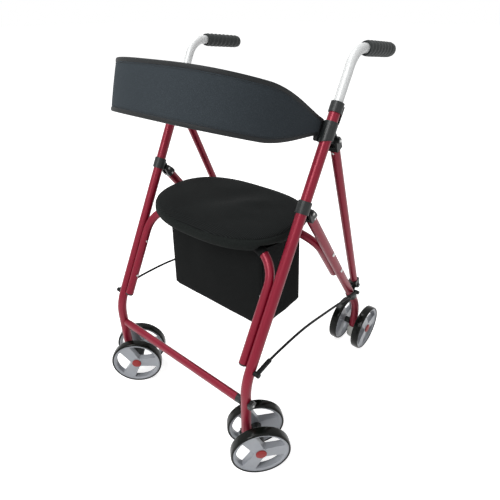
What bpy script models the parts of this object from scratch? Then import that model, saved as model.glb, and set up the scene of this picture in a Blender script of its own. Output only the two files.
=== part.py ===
"""A folding four-caster walker with a seat, a bag and a back band. Metres, +Z up, floor at z = 0.

-Y is the front, +Y the user's side and +X the user's left. Points below are (y, z) pairs in the walker's own
middle plane, and WALKER_ORIGIN then puts the middle of the whole box over the world's origin.
"""

import math

import bmesh
import bpy
from mathutils import Matrix, Vector

# Overall
WALKER_ORIGIN = Vector((-0.01965, -0.094635, 0.0))
CLEARANCE = 0.0003
TUBE_SIDES = 12

# Front legs: upright over the caster, then leaning back
LEG_HALF_TRACK = 0.239
LEG_RADIUS = 0.0125
STEM_Y = -0.196
FRONT_CORNER_Z = 0.2647
FRONT_LEAN = math.radians(28.2)
FRONT_BEND_RADIUS = 0.150
FRONT_LEG_FOOT_Z = 0.098
FRONT_LEG_TOP = 0.6496

# Rear legs: from the rear pivot down to the upright part over the axle
REAR_AXLE_Y = 0.3784
REAR_LEAN = math.radians(37.25)
PIVOT_STATION = 0.4177
REAR_BEND_RADIUS = 0.150
REAR_LEG_FOOT_Z = 0.057
REAR_PIVOT_OFFSET = 0.0240

# Sleeves that slide on the front legs
SLEEVE_RADIUS = 0.0158
SLEEVE_LOW = -0.0076
SLEEVE_HIGH = 0.0209
EYE_RADIUS = 0.0088
LUG_HALF_WIDTH = 0.0060
FORK_HALF_WIDTH = 0.0125
PIN_RADIUS = 0.0040
PIN_HEAD_RADIUS = 0.0062
PIN_HEAD_HEIGHT = 0.0035
KNUCKLE_LENGTH = 0.0250
KNUCKLE_SLOT = 0.0140
FORK_STEP = 0.0005

# Handle tubes, their collars and grips
HANDLE_RADIUS = 0.0105
HANDLE_INSERT = 0.200
HANDLE_DROP = 0.060
HANDLE_RISE = 0.1177
HANDLE_CORNER = FRONT_LEG_TOP + HANDLE_RISE
HANDLE_BEND_RADIUS = 0.060
GRIP_SLOPE = math.radians(5.0)
GRIP_START = 0.0445
GRIP_LENGTH = 0.1365
GRIP_RADIUS = 0.0165
GRIP_RIBS = 8
GRIP_RIB_DEPTH = 0.0012
GRIP_END_WALL = 0.006
COLLAR_SKIRT = 0.0185
COLLAR_LOW = FRONT_LEG_TOP - COLLAR_SKIRT
COLLAR_LIP = 0.0035
COLLAR_RADIUS = 0.0148
COLLAR_TONGUE_DROP = 0.009
COLLAR_TONGUE_HALF_WIDTH = 0.006
COLLAR_TONGUE_DEPTH = 0.0172

# Top brackets and struts
BRACKET_DROP = 0.0380
BRACKET_LENGTH = 0.0476
BRACKET_HIGH = FRONT_LEG_TOP - BRACKET_DROP
BRACKET_LOW = BRACKET_HIGH - BRACKET_LENGTH
BRACKET_RADIUS = 0.0158
STRUT_PIVOT_RISE = 0.0201
STRUT_PIVOT_STATION = BRACKET_LOW + STRUT_PIVOT_RISE
STRUT_PIVOT_OFFSET = 0.0342
STRUT_RADIUS = 0.0110
STRUT_FORK_LENGTH = 0.0250
STRUT_FOOT_STATION = 0.4815
STRUT_FOOT_OFFSET = 0.0310
STRUT_FOOT_SLOT = 0.0190
STRUT_FOOT_BODY = 0.008
FOOT_EYE_RADIUS = 0.0070
CLAMP_LOW = 0.4880
CLAMP_HIGH = 0.5100
CLAMP_RADIUS = 0.0158

# U-shaped seat tubes
SEAT_TUBE_RADIUS = 0.0110
SEAT_TUBE_SIDES = 12
SEAT_TUBE_HALF_TRACK = LEG_HALF_TRACK - LEG_RADIUS - CLEARANCE - SEAT_TUBE_RADIUS
FRONT_TUBE_TOP = 0.3096
FRONT_TUBE_END = 0.0380
FRONT_TUBE_BEND = 0.078
FRONT_TUBE_BOLTS = (0.2046, 0.1016)
REAR_TUBE_TOP = 0.1340
REAR_TUBE_END = 0.3500
REAR_TUBE_BEND = 0.070
REAR_TUBE_BOLTS = (0.206, 0.305)
TUBE_CAP_LENGTH = 0.005
BOLT_RADIUS = 0.0055
BOLT_HEIGHT = 0.0035
BOLT_SINK = 0.003

# Lower crossbar with its plugs and knobs
CROSSBAR_Z = 0.202
CROSSBAR_HALF_HEIGHT = 0.0125
CROSSBAR_HALF_DEPTH = 0.0095
CROSSBAR_PLUG = 0.0145
CROSSBAR_PLUG_STEP = 0.0006
KNOB_RADIUS = 0.0120
KNOB_LOBES = 5
KNOB_STEPS = 6
KNOB_LOBE_DEPTH = 0.0016
KNOB_HEIGHT = 0.0090
KNOB_Z = 0.208

# Seat
SEAT_MIDDLE_Y = 0.014
SEAT_SIDE_GAP = 0.032
SEAT_HALF_WIDTH = LEG_HALF_TRACK - SEAT_SIDE_GAP
SEAT_HALF_DEPTH = 0.134
SEAT_EXPONENT = 2.45
SEAT_HEIGHT = 0.0330
SEAT_CROWN = 0.0160
SEAT_SAG = 0.0025
BOARD_THICKNESS = 0.012
BOARD_MARGIN = 0.022
SEAT_TUBE_GAP = 0.0030
CLIP_X = 0.090
CLIP_HALF_WIDTH = 0.015
CLIP_RADIUS = 0.0138
REST_X = 0.100
REST_HALF_WIDTH = 0.014
REST_HALF_DEPTH = 0.012

# Bag
BAG_FLOOR_Z = 0.287
BAG_FRONT_Y = -0.042
BAG_REAR_Y = 0.127
BAG_HALF_WIDTH = 0.170
BAG_TOP_HALF_WIDTH = 0.160
BAG_FRONT_TOP_Z = 0.5225
BAG_REAR_TOP_Z = 0.4970
BAG_WALL = 0.003
BAG_CORNER = 0.012
BAG_BOARD = 0.004
BAG_STRAP_TAIL = 0.016
BAG_LOOP_X = (0.020, 0.060)
BAG_STRAP_HALF_WIDTH = 0.030
BAG_STRAP_LEAVES = (1.05, 0.92)
STRAP_SLIT = 0.28
STRAP_THICKNESS = 0.0016

# Back band, in a plane tilted about X
BAND_END_RISE = 0.0339
BAND_END_OFFSET = -0.0029
BAND_TILT = math.radians(18.0)
BAND_DEPTH = 0.2835
BAND_EXPONENT = 3.14
BAND_MIDDLE_HALF_HEIGHT = 0.0536
BAND_END_HALF_HEIGHT = 0.0130
BAND_TAPER_START = 0.564
BAND_TAPER = 1.63
BAND_THICKNESS = 0.008
BAND_HALF_WIDTH = LEG_HALF_TRACK - BRACKET_RADIUS - BAND_THICKNESS / 2 - CLEARANCE
BAND_STATIONS = 30

# Cables at the sides
CABLE_RADIUS = 0.0022
CABLE_STANDOFF = 0.0195
CABLE_ROUTE = (
    (-0.180, 0.297), (-0.134, 0.306), (-0.078, 0.307), (0.017, 0.305),
    (0.102, 0.288), (0.170, 0.276), (0.238, 0.261), (0.275, 0.2535), (0.318, 0.245),
)
CABLE_POINTS = 40
FERRULE_LENGTH = 0.042
FERRULE_RATIO = 1.9
CABLE_EYE_RADIUS = 0.0080

# Wheels and casters
WHEEL_RADIUS = 0.075
WHEEL_WIDTH = 0.025
TWIN_SPACING = 0.080
TYRE_DEPTH = 0.005
TYRE_SHOULDER = 0.0025
RIM_WIDTH = 0.021
RIM_BAND = 0.0080
SPOKES = 3
SPOKE_HALF_WIDTH_HUB = 0.017
SPOKE_HALF_WIDTH_RIM = 0.020
RIM_HUB_RADIUS = 0.021
AXLE_RADIUS = 0.0050
HUB_CAP_RADIUS = 0.0135
HUB_CAP_HEIGHT = 0.0040
HUB_CAP_DOME = 0.0015
WHEEL_SIDES = 24
SPOKE_COLUMNS = 2
WINDOW_COLUMNS = 5
CASTER_TRAIL = 0.029
CASTER_YAW = {1: math.radians(41.7), -1: math.radians(48.2)}
CASTER_BARREL_RADIUS = 0.014
CASTER_CROWN_RADIUS = 0.0170
CASTER_CROWN_HEIGHT = 0.0130
CASTER_ARM_HALF_WIDTH = 0.015
STEM_RADIUS = 0.0050
STEM_LENGTH = 0.024
AXLE_SPACER_RADIUS = 0.0100
BRAKE_FOOT_LOW = 0.020
BRAKE_FOOT_RADIUS = 0.0165
BRAKE_FOOT_CUP = 0.006

SIDES = {"left": 1, "right": -1}
X = Vector((1, 0, 0))


def bore(radius, sides=TUBE_SIDES):
    """The corner radius of a faceted hole whose flats clear a tube of this radius."""
    return (radius + CLEARANCE) / math.cos(math.pi / sides)


def yz(point, x=0.0):
    return Vector((x, point[0], point[1]))


UP_LEG = Vector((0, math.sin(FRONT_LEAN), math.cos(FRONT_LEAN)))
BEHIND_LEG = Vector((0, math.cos(FRONT_LEAN), -math.sin(FRONT_LEAN)))
DOWN_REAR = Vector((0, math.sin(REAR_LEAN), -math.cos(REAR_LEAN)))
BEHIND_REAR = Vector((0, math.cos(REAR_LEAN), math.sin(REAR_LEAN)))
FRONT_CORNER = Vector((0, STEM_Y, FRONT_CORNER_Z))
REAR_PIVOT = FRONT_CORNER + UP_LEG * PIVOT_STATION + BEHIND_LEG * REAR_PIVOT_OFFSET
REAR_CORNER = REAR_PIVOT + DOWN_REAR * (REAR_AXLE_Y - REAR_PIVOT.y) / DOWN_REAR.y


def on_front_leg(station, behind=0.0, x=0.0):
    return FRONT_CORNER + UP_LEG * station + BEHIND_LEG * behind + X * x


def on_rear_leg(station, behind=0.0, x=0.0):
    return REAR_PIVOT + DOWN_REAR * station + BEHIND_REAR * behind + X * x


STRUT_PIVOT = on_front_leg(STRUT_PIVOT_STATION, STRUT_PIVOT_OFFSET)
STRUT_FOOT = on_rear_leg(STRUT_FOOT_STATION, STRUT_FOOT_OFFSET)
DOWN_STRUT = (STRUT_FOOT - STRUT_PIVOT).normalized()
FRONT_MEMBER = on_front_leg(FRONT_TUBE_TOP)
REAR_MEMBER = on_rear_leg(REAR_TUBE_TOP)
BOARD_Z = FRONT_MEMBER.z + SEAT_TUBE_RADIUS + SEAT_TUBE_GAP


def skin(bm, rings, caps=True):
    """Closes a solid over rings of points, from the first ring to the last, or round to the first without caps."""
    made = [[bm.verts.new(point) for point in ring] for ring in rings]
    count = len(made[0])
    pairs = list(zip(made, made[1:])) + ([] if caps else [(made[-1], made[0])])
    faces = []
    for low, high in pairs:
        for i in range(count):
            j = (i + 1) % count
            faces.append(bm.faces.new((low[i], low[j], high[j], high[i])))
    if caps:
        faces.append(bm.faces.new(made[0][::-1]))
        faces.append(bm.faces.new(made[-1]))
    bmesh.ops.recalc_face_normals(bm, faces=faces)


def circle(centre, first, second, radius, sides=TUBE_SIDES):
    step = 2 * math.pi / sides
    return [centre + radius * (math.cos(i * step) * first + math.sin(i * step) * second) for i in range(sides)]


def turned(bm, origin, axis, profile, sides=TUBE_SIDES, closed=False, first=X):
    """Turns (radius, height) points about an axis. A closed profile makes a ring, an open one a solid with flat ends."""
    axis = axis.normalized()
    if abs(axis.dot(first)) > 0.9:
        first = Vector((0, 1, 0))
    first = (first - axis * first.dot(axis)).normalized()
    second = axis.cross(first)
    rings = [circle(origin + axis * height, first, second, radius, sides) for radius, height in profile]
    skin(bm, rings, caps=not closed)


def path_rings(path, radius, across, sides=TUBE_SIDES):
    """Rings of a tube along a flat path. across is the unit normal of the path's plane."""
    rings = []
    for i, point in enumerate(path):
        ahead = (path[min(i + 1, len(path) - 1)] - path[max(i - 1, 0)]).normalized()
        rings.append(circle(point, across, ahead.cross(across), radius, sides))
    return rings


def end_cap(rings, length, drop):
    """Rings that carry a tube on from its last ring to a domed end."""
    centre = sum(rings[-1], Vector()) / len(rings[-1])
    before = sum(rings[-2], Vector()) / len(rings[-2])
    ahead = (centre - before).normalized()
    radius = (rings[-1][0] - centre).length
    return [
        [centre + ahead * length * share + (point - centre) * (radius - inset) / radius for point in rings[-1]]
        for share, inset in ((0.5, 0.0), (1.0, drop))
    ]


def rounded(start, corner, end, radius, steps):
    """A path from start to end with its corner turned at this radius."""
    back = (start - corner).normalized()
    ahead = (end - corner).normalized()
    half = back.angle(ahead) / 2
    reach = radius / math.tan(half)
    centre = corner + (back + ahead).normalized() * radius / math.sin(half)
    first = (corner + back * reach - centre) / radius
    turn = math.pi - 2 * half
    second = (-back - first * (-back).dot(first)).normalized()
    angles = [turn * i / steps for i in range(steps + 1)]
    return [centre + radius * (math.cos(a) * first + math.sin(a) * second) for a in angles]


def slab(bm, outline, low, high):
    """A flat piece across X: outline is a loop of (y, z) points, low and high its two X faces."""
    skin(bm, [[yz(point, x) for point in outline] for x in (low, high)])


def box(bm, low, high):
    slab(bm, ((low[1], low[2]), (high[1], low[2]), (high[1], high[2]), (low[1], high[2])), low[0], high[0])


def as_yz(point):
    return (point.y, point.z)


def arc(centre, along, radius, start, end, steps):
    """(y, z) points of an arc round centre. Angles run from along toward the vector a quarter turn on."""
    side = Vector((0, -along.z, along.y))
    angles = [start + (end - start) * i / steps for i in range(steps + 1)]
    return [as_yz(centre + radius * (math.cos(a) * along + math.sin(a) * side)) for a in angles]


def material(name, colour, roughness, metallic=0.0):
    made = bpy.data.materials.new(name)
    made.use_nodes = True
    shader = made.node_tree.nodes["Principled BSDF"]
    shader.inputs["Base Color"].default_value = (*colour, 1.0)
    shader.inputs["Roughness"].default_value = roughness
    shader.inputs["Metallic"].default_value = metallic
    made.diffuse_color = (*colour, 1.0)
    return made


for old in list(bpy.data.objects):
    bpy.data.objects.remove(old)
walker = bpy.data.collections.new("walker")
cutters = bpy.data.collections.new("cutters")
cutters.hide_render = True
for collection in (walker, cutters):
    bpy.context.scene.collection.children.link(collection)

COLOURS = {
    "red": ((0.30, 0.017, 0.035), 0.35, 0.5),
    "silver": ((0.75, 0.75, 0.78), 0.3, 1.0),
    "black": ((0.03, 0.033, 0.033), 0.5, 0.0),
    "steel": ((0.10, 0.10, 0.10), 0.35, 0.8),
    "rubber": ((0.035, 0.037, 0.036), 0.8, 0.0),
    "tyre": ((0.025, 0.027, 0.025), 0.45, 0.0),
    "rim": ((0.36, 0.38, 0.42), 0.45, 0.0),
    "cap": ((0.45, 0.05, 0.04), 0.5, 0.0),
    "grey": ((0.50, 0.50, 0.48), 0.6, 0.0),
    "fabric": ((0.018, 0.021, 0.021), 0.9, 0.0),
    "band": ((0.045, 0.055, 0.068), 0.9, 0.0),
    "board": ((0.05, 0.05, 0.05), 0.8, 0.0),
}


def empty(name, place, parent):
    """An empty at a joint's axis. place is in the walker's own frame."""
    made = bpy.data.objects.new(name, None)
    made.empty_display_size = 0.02
    made.parent = parent
    made.location = place - Vector(parent["place"])
    made["place"] = place
    walker.objects.link(made)
    return made


root = bpy.data.objects.new("walker_origin", None)
root.location = WALKER_ORIGIN
root["place"] = Vector()
walker.objects.link(root)
slider = empty("sleeve_slide", REAR_PIVOT, root)
rear_frame = empty("frame_fold", REAR_PIVOT, slider)
struts = empty("strut_swing", STRUT_PIVOT, root)
seat = empty("seat_flip", FRONT_MEMBER, root)


def node(name, parent, look, bm, smooth=True):
    """One named piece: its mesh is kept about the joint axis that its parent stands on."""
    place = Vector(parent["place"])
    bmesh.ops.translate(bm, verts=bm.verts, vec=-place)
    mesh = bpy.data.meshes.new(name)
    bm.to_mesh(mesh)
    bm.free()
    made = bpy.data.objects.new(name, mesh)
    made.parent = parent
    colour, roughness, metallic = COLOURS[look]
    mesh.materials.append(material(name, colour, roughness, metallic))
    walker.objects.link(made)
    if smooth:
        mesh.shade_smooth()
        mesh.set_sharp_from_angle(angle=math.radians(35))
    return made


def combine(target, bm, operation):
    """Joins the shape in bm to the target, or cuts it away, with an exact Boolean."""
    helper = node(f"{target.name}_{operation.lower()}", target.parent, "steel", bm, smooth=False)
    walker.objects.unlink(helper)
    cutters.objects.link(helper)
    helper.hide_render = True
    helper.display_type = "WIRE"
    modifier = target.modifiers.new(operation.title(), "BOOLEAN")
    modifier.operation = operation
    modifier.solver = "EXACT"
    modifier.object = helper
    return target


def front_leg(name, side):
    x = side * LEG_HALF_TRACK
    top = FRONT_LEG_TOP
    bend = rounded(yz((STEM_Y, FRONT_LEG_FOOT_Z), x), FRONT_CORNER + X * x, on_front_leg(top, x=x), FRONT_BEND_RADIUS, 5)
    foot = yz((STEM_Y, FRONT_LEG_FOOT_Z), x)
    stem = STEM_LENGTH + 2 * CLEARANCE
    path = [foot, *bend, on_front_leg(top, x=x)]
    outer = path_rings(path, LEG_RADIUS, X)
    outer[0] = circle(foot, X, Vector((0, 0, 1)).cross(X), LEG_RADIUS)
    outer[-1] = circle(path[-1], X, UP_LEG.cross(X), LEG_RADIUS)
    stem_bore = [
        circle(foot + Vector((0, 0, height)), X, Vector((0, 0, 1)).cross(X), bore(STEM_RADIUS))
        for height in (stem, 0)
    ]
    depth = HANDLE_INSERT + HANDLE_DROP + 2 * CLEARANCE
    handle_bore = [
        circle(on_front_leg(top - down, x=x), X, UP_LEG.cross(X), bore(HANDLE_RADIUS)) for down in (0, depth)
    ]
    bm = bmesh.new()
    skin(bm, [*stem_bore, *outer, *handle_bore])
    return node(name, root, "red", bm)


def clamp(name, parent, side, frame, low, high, radius, pivot, eye, look="black", bored=True):
    """A ring round a leg with a lug that reaches the pivot. frame gives a place from (station, behind, x)."""
    x = side * LEG_HALF_TRACK
    origin = frame(0, 0, x)
    axis = frame(1, 0, x) - origin
    inner = bore(LEG_RADIUS)
    bm = bmesh.new()
    turned(bm, origin, axis, ((inner, low), (radius, low), (radius, high), (inner, high)), closed=True)
    made = node(name, parent, look, bm)
    root_gap = inner + CLEARANCE
    station = (pivot - frame(0)).dot(axis)
    behind = frame(0, 1) - frame(0)
    roots = [as_yz(frame(s, root_gap)) for s in (max(low, station - 2 * eye) + CLEARANCE, min(high, station + 2 * eye) - CLEARANCE)]
    turn = math.copysign(1.0, behind.y * axis.z - behind.z * axis.y)
    ends = arc(pivot, behind, eye, -math.pi / 2 * turn, math.pi / 2 * turn, 6)
    lug = bmesh.new()
    slab(lug, [roots[0], *ends, roots[1]], x - LUG_HALF_WIDTH, x + LUG_HALF_WIDTH)
    combine(made, lug, "UNION")
    if bored:
        hole = bmesh.new()
        turned(hole, pivot + X * x, X, ((bore(PIN_RADIUS), -radius), (bore(PIN_RADIUS), radius)))
        combine(made, hole, "DIFFERENCE")
    return made


def fork(name, parent, side, look, pivot, direction, length, slot, half_height, pinned):
    """Two cheeks round a lug, a body that meets the tube, and the pivot bolt or only its heads."""
    across = Vector((0, -direction.z, direction.y))
    x = side * LEG_HALF_TRACK
    round_end = arc(pivot, -direction, EYE_RADIUS, -math.pi / 2, math.pi / 2, 6)
    far = ((slot, -half_height), (length, -half_height), (length, half_height), (slot, half_height))
    far = [as_yz(pivot + direction * d + across * h) for d, h in far]
    body = bmesh.new()
    slab(body, [*round_end, *far], x - FORK_HALF_WIDTH, x + FORK_HALF_WIDTH)
    wide = 2 * half_height
    cut = ((-wide, wide), (slot, wide), (slot, -wide), (-wide, -wide))
    half = LUG_HALF_WIDTH + CLEARANCE
    gap = bmesh.new()
    slab(gap, [as_yz(pivot + direction * d + across * h) for d, h in cut], x - half, x + half)
    made = node(name, parent, look, body)
    combine(made, gap, "DIFFERENCE")
    reach = FORK_HALF_WIDTH + PIN_HEAD_HEIGHT
    seated = FORK_HALF_WIDTH - CLEARANCE
    if pinned:
        profile = ((PIN_HEAD_RADIUS, -reach), (PIN_HEAD_RADIUS, -seated), (PIN_RADIUS, -seated))
        bolts = [(*profile, *((r, -h) for r, h in profile[::-1]))]
    else:
        bolts = [[(PIN_HEAD_RADIUS, turn * seated), (PIN_HEAD_RADIUS, turn * reach)] for turn in (-1, 1)]
    for bolt_profile in bolts:
        bolt = bmesh.new()
        turned(bolt, pivot + X * x, X, bolt_profile, sides=12)
        combine(made, bolt, "UNION")
    return made


def rear_leg(name, side):
    x = side * LEG_HALF_TRACK
    start = on_rear_leg(KNUCKLE_LENGTH + CLEARANCE, x=x)
    foot = yz((REAR_AXLE_Y, REAR_LEG_FOOT_Z), x)
    path = [start, *rounded(start, REAR_CORNER + X * x, foot, REAR_BEND_RADIUS, 6), foot]
    bm = bmesh.new()
    skin(bm, path_rings(path, LEG_RADIUS, X))
    made = node(name, rear_frame, "red", bm)
    hole = bmesh.new()
    axle = yz((REAR_AXLE_Y, WHEEL_RADIUS), x)
    turned(hole, axle, X, ((bore(AXLE_RADIUS), -2 * LEG_RADIUS), (bore(AXLE_RADIUS), 2 * LEG_RADIUS)))
    return combine(made, hole, "DIFFERENCE")


def seat_tube(name, parent, place, top, end, bend, away):
    """A U of tube with capped legs inside the walker's legs. place gives a point from (station, behind, x)."""
    half = SEAT_TUBE_HALF_TRACK
    ends = [place(end - away * TUBE_CAP_LENGTH, 0, side * half) for side in (1, -1)]
    corners = [place(top, 0, side * half) for side in (1, -1)]
    middle = place(top, 0, 0)
    left = rounded(ends[0], corners[0], middle, bend, 6)
    right = rounded(middle, corners[1], ends[1], bend, 6)
    across = (place(0, 1) - place(0)).normalized()
    rings = path_rings([ends[0], *left, *right, ends[1]], SEAT_TUBE_RADIUS, across, sides=SEAT_TUBE_SIDES)
    drop = TUBE_CAP_LENGTH / 2
    rings = [*end_cap(rings[::-1], TUBE_CAP_LENGTH, drop)[::-1], *rings, *end_cap(rings, TUBE_CAP_LENGTH, drop)]
    bm = bmesh.new()
    skin(bm, rings)
    return node(name, parent, "red", bm)


def bolt_heads(leg, place, stations, side):
    """Heads of the bolts that hold a seat tube, on the outer face of a leg."""
    x = side * (LEG_HALF_TRACK + LEG_RADIUS)
    profile = ((BOLT_RADIUS, -BOLT_SINK), (BOLT_RADIUS, BOLT_HEIGHT / 2), (BOLT_RADIUS / 2, BOLT_HEIGHT))
    for station in stations:
        bm = bmesh.new()
        turned(bm, place(station, 0, x), X * side, profile, sides=10)
        combine(leg, bm, "UNION")


def build_front_frame():
    for word, side in SIDES.items():
        leg = front_leg(f"front_leg_{word}", side)
        bolt_heads(leg, on_front_leg, FRONT_TUBE_BOLTS, side)
        clamp(
            f"top_bracket_{word}", root, side, on_front_leg, BRACKET_LOW, BRACKET_HIGH,
            BRACKET_RADIUS, STRUT_PIVOT, EYE_RADIUS,
        )
        handle_collar(f"handle_collar_{word}", side)
    crossbar_bolt(leg)
    seat_tube("front_seat_tube", root, on_front_leg, FRONT_TUBE_TOP, FRONT_TUBE_END, FRONT_TUBE_BEND, -1)
    crossbar()
    knob()


def oval(x, shrink):
    points = circle(Vector(), Vector((0, 1, 0)), Vector((0, 0, 1)), 1.0)
    depth, height = CROSSBAR_HALF_DEPTH - shrink, CROSSBAR_HALF_HEIGHT - shrink
    return [Vector((x, STEM_Y + p.y * depth, CROSSBAR_Z + p.z * height)) for p in points]


def crossbar():
    """The oval bar between the front legs, with a plug in each end that meets the leg."""
    end = LEG_HALF_TRACK - LEG_RADIUS - CLEARANCE
    start = end - CROSSBAR_PLUG
    steps = ((end, CROSSBAR_PLUG_STEP), (start, CROSSBAR_PLUG_STEP), (start, 0.0))
    rings = [oval(-x, shrink) for x, shrink in steps] + [oval(x, shrink) for x, shrink in steps[::-1]]
    bm = bmesh.new()
    skin(bm, rings)
    node("lower_crossbar", root, "red", bm)


def crossbar_bolt(leg):
    """The head of the crossbar's bolt on the right leg's outer face."""
    bm = bmesh.new()
    place = Vector((-LEG_HALF_TRACK - LEG_RADIUS, STEM_Y, KNOB_Z))
    turned(bm, place, -X, ((BOLT_RADIUS, -BOLT_SINK), (BOLT_RADIUS, BOLT_HEIGHT)), sides=12)
    combine(leg, bm, "UNION")


def knob():
    """The lobed hand nut of the crossbar, on the left leg."""
    face = LEG_HALF_TRACK + LEG_RADIUS + CLEARANCE
    steps = KNOB_LOBES * KNOB_STEPS
    points = []
    for i in range(steps):
        angle = 2 * math.pi * i / steps
        radius = KNOB_RADIUS - KNOB_LOBE_DEPTH * (1 - math.cos(KNOB_LOBES * angle)) / 2
        points.append((STEM_Y + radius * math.cos(angle), KNOB_Z + radius * math.sin(angle)))
    bm = bmesh.new()
    slab(bm, points, face, face + KNOB_HEIGHT)
    node("crossbar_knob", root, "black", bm)


def handle_collar(name, side):
    x = side * LEG_HALF_TRACK
    inner = bore(LEG_RADIUS)
    shoulder = FRONT_LEG_TOP + CLEARANCE
    top = shoulder + COLLAR_LIP
    tight = bore(HANDLE_RADIUS)
    profile = (
        (inner, COLLAR_LOW), (COLLAR_RADIUS, COLLAR_LOW), (COLLAR_RADIUS, top), (tight, top),
        (tight, shoulder), (inner, shoulder),
    )
    bm = bmesh.new()
    turned(bm, on_front_leg(0, 0, x), UP_LEG, profile, closed=True)
    made = node(name, root, "black", bm)
    tongue = bmesh.new()
    low = COLLAR_LOW - COLLAR_TONGUE_DROP
    outline = [
        as_yz(on_front_leg(s, v)) for s, v in (
            (low, inner + CLEARANCE), (low, COLLAR_TONGUE_DEPTH - 0.001), (COLLAR_LOW, COLLAR_TONGUE_DEPTH),
            (top - COLLAR_LIP, COLLAR_TONGUE_DEPTH), (top - COLLAR_LIP, inner + CLEARANCE),
        )
    ]
    slab(tongue, outline, x - COLLAR_TONGUE_HALF_WIDTH, x + COLLAR_TONGUE_HALF_WIDTH)
    return combine(made, tongue, "UNION")


def handle(word, side):
    """A silver tube that slides in the leg, and its ribbed grip."""
    x = X * side * LEG_HALF_TRACK
    moving = empty(f"handle_slide_{word}", on_front_leg(FRONT_LEG_TOP) + x, root)
    corner = on_front_leg(HANDLE_CORNER) + x
    back = Vector((0, math.cos(GRIP_SLOPE), -math.sin(GRIP_SLOPE)))
    start = on_front_leg(FRONT_LEG_TOP - HANDLE_INSERT) + x
    grip_at = corner + back * GRIP_START
    end = grip_at + back * (GRIP_LENGTH - GRIP_END_WALL - CLEARANCE)
    bend = rounded(start, corner, end, HANDLE_BEND_RADIUS, 7)
    bm = bmesh.new()
    skin(bm, path_rings([start, *bend, end], HANDLE_RADIUS, X))
    node(f"handle_tube_{word}", moving, "silver", bm)
    profile = [(bore(HANDLE_RADIUS), 0), (GRIP_RADIUS - 0.002, 0), (GRIP_RADIUS, 0.003)]
    pitch = (GRIP_LENGTH - 0.014) / GRIP_RIBS
    for i in range(GRIP_RIBS):
        at = 0.006 + pitch * (i + 0.5)
        profile += [(GRIP_RADIUS, at - pitch * 0.2), (GRIP_RADIUS - GRIP_RIB_DEPTH, at)]
    profile += [(GRIP_RADIUS, GRIP_LENGTH - 0.008), (GRIP_RADIUS * 0.82, GRIP_LENGTH - 0.002)]
    profile += [(GRIP_RADIUS * 0.5, GRIP_LENGTH)]
    inside = GRIP_LENGTH - GRIP_END_WALL
    bm = bmesh.new()
    turned(bm, grip_at, back, [(bore(HANDLE_RADIUS), inside), *profile])
    node(f"grip_{word}", moving, "rubber", bm)


def build_sleeves():
    low = PIVOT_STATION + SLEEVE_LOW
    high = PIVOT_STATION + SLEEVE_HIGH
    for word, side in SIDES.items():
        clamp(f"sleeve_{word}", slider, side, on_front_leg, low, high, SLEEVE_RADIUS, REAR_PIVOT, EYE_RADIUS)


def build_rear_frame():
    for word, side in SIDES.items():
        leg = rear_leg(f"rear_leg_{word}", side)
        bolt_heads(leg, on_rear_leg, REAR_TUBE_BOLTS, side)
        clamp(
            f"strut_clamp_{word}", rear_frame, side, on_rear_leg, CLAMP_LOW, CLAMP_HIGH,
            CLAMP_RADIUS, STRUT_FOOT, FOOT_EYE_RADIUS, bored=False,
        )
        fork(
            f"knuckle_{word}", rear_frame, side, "black", REAR_PIVOT, DOWN_REAR, KNUCKLE_LENGTH, KNUCKLE_SLOT,
            LEG_RADIUS - FORK_STEP, True,
        )
        brake_foot(f"brake_foot_{word}", side)
        rear_axle(f"rear_axle_{word}", side)
        seat_rest(f"seat_rest_{word}", side)
    seat_tube("rear_seat_tube", rear_frame, on_rear_leg, REAR_TUBE_TOP, REAR_TUBE_END, REAR_TUBE_BEND, 1)


def brake_foot(name, side):
    """The rubber end of a rear leg: a plug under the tube with a rim round it."""
    foot = REAR_LEG_FOOT_Z
    inner = bore(LEG_RADIUS)
    radius = BRAKE_FOOT_RADIUS
    profile = (
        (radius - 0.003, BRAKE_FOOT_LOW), (radius, BRAKE_FOOT_LOW + 0.004), (radius, foot + BRAKE_FOOT_CUP),
        (inner, foot + BRAKE_FOOT_CUP), (inner, foot - CLEARANCE),
    )
    bm = bmesh.new()
    turned(bm, yz((REAR_AXLE_Y, 0), side * LEG_HALF_TRACK), Vector((0, 0, 1)), profile)
    node(name, rear_frame, "grey", bm)


def axle_profile(spacer_start):
    """Half of an axle: (radius, distance) from its middle to a red hub cap on the outer wheel's face."""
    inner_face = TWIN_SPACING / 2 - RIM_WIDTH / 2 - CLEARANCE
    outer_face = TWIN_SPACING / 2 + RIM_WIDTH / 2 + CLEARANCE
    spacer = ()
    if spacer_start:
        spacer = ((AXLE_RADIUS, spacer_start), (AXLE_SPACER_RADIUS, spacer_start), (AXLE_SPACER_RADIUS, inner_face))
        spacer += ((AXLE_RADIUS, inner_face),)
    return (
        *spacer, (AXLE_RADIUS, outer_face), (HUB_CAP_RADIUS, outer_face),
        (HUB_CAP_RADIUS, outer_face + HUB_CAP_HEIGHT - HUB_CAP_DOME),
        (HUB_CAP_RADIUS - 3 * HUB_CAP_DOME, outer_face + HUB_CAP_HEIGHT),
    )


def axle(bm, centre, axis, spacer_start):
    half = axle_profile(spacer_start)
    profile = [(r, -d) for r, d in half[::-1]] + list(half)
    turned(bm, centre, axis, profile, first=Vector((0, 0, 1)))


def rear_axle(name, side):
    bm = bmesh.new()
    axle(bm, yz((REAR_AXLE_Y, WHEEL_RADIUS), side * LEG_HALF_TRACK), X, LEG_RADIUS + CLEARANCE)
    node(name, rear_frame, "cap", bm)


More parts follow.
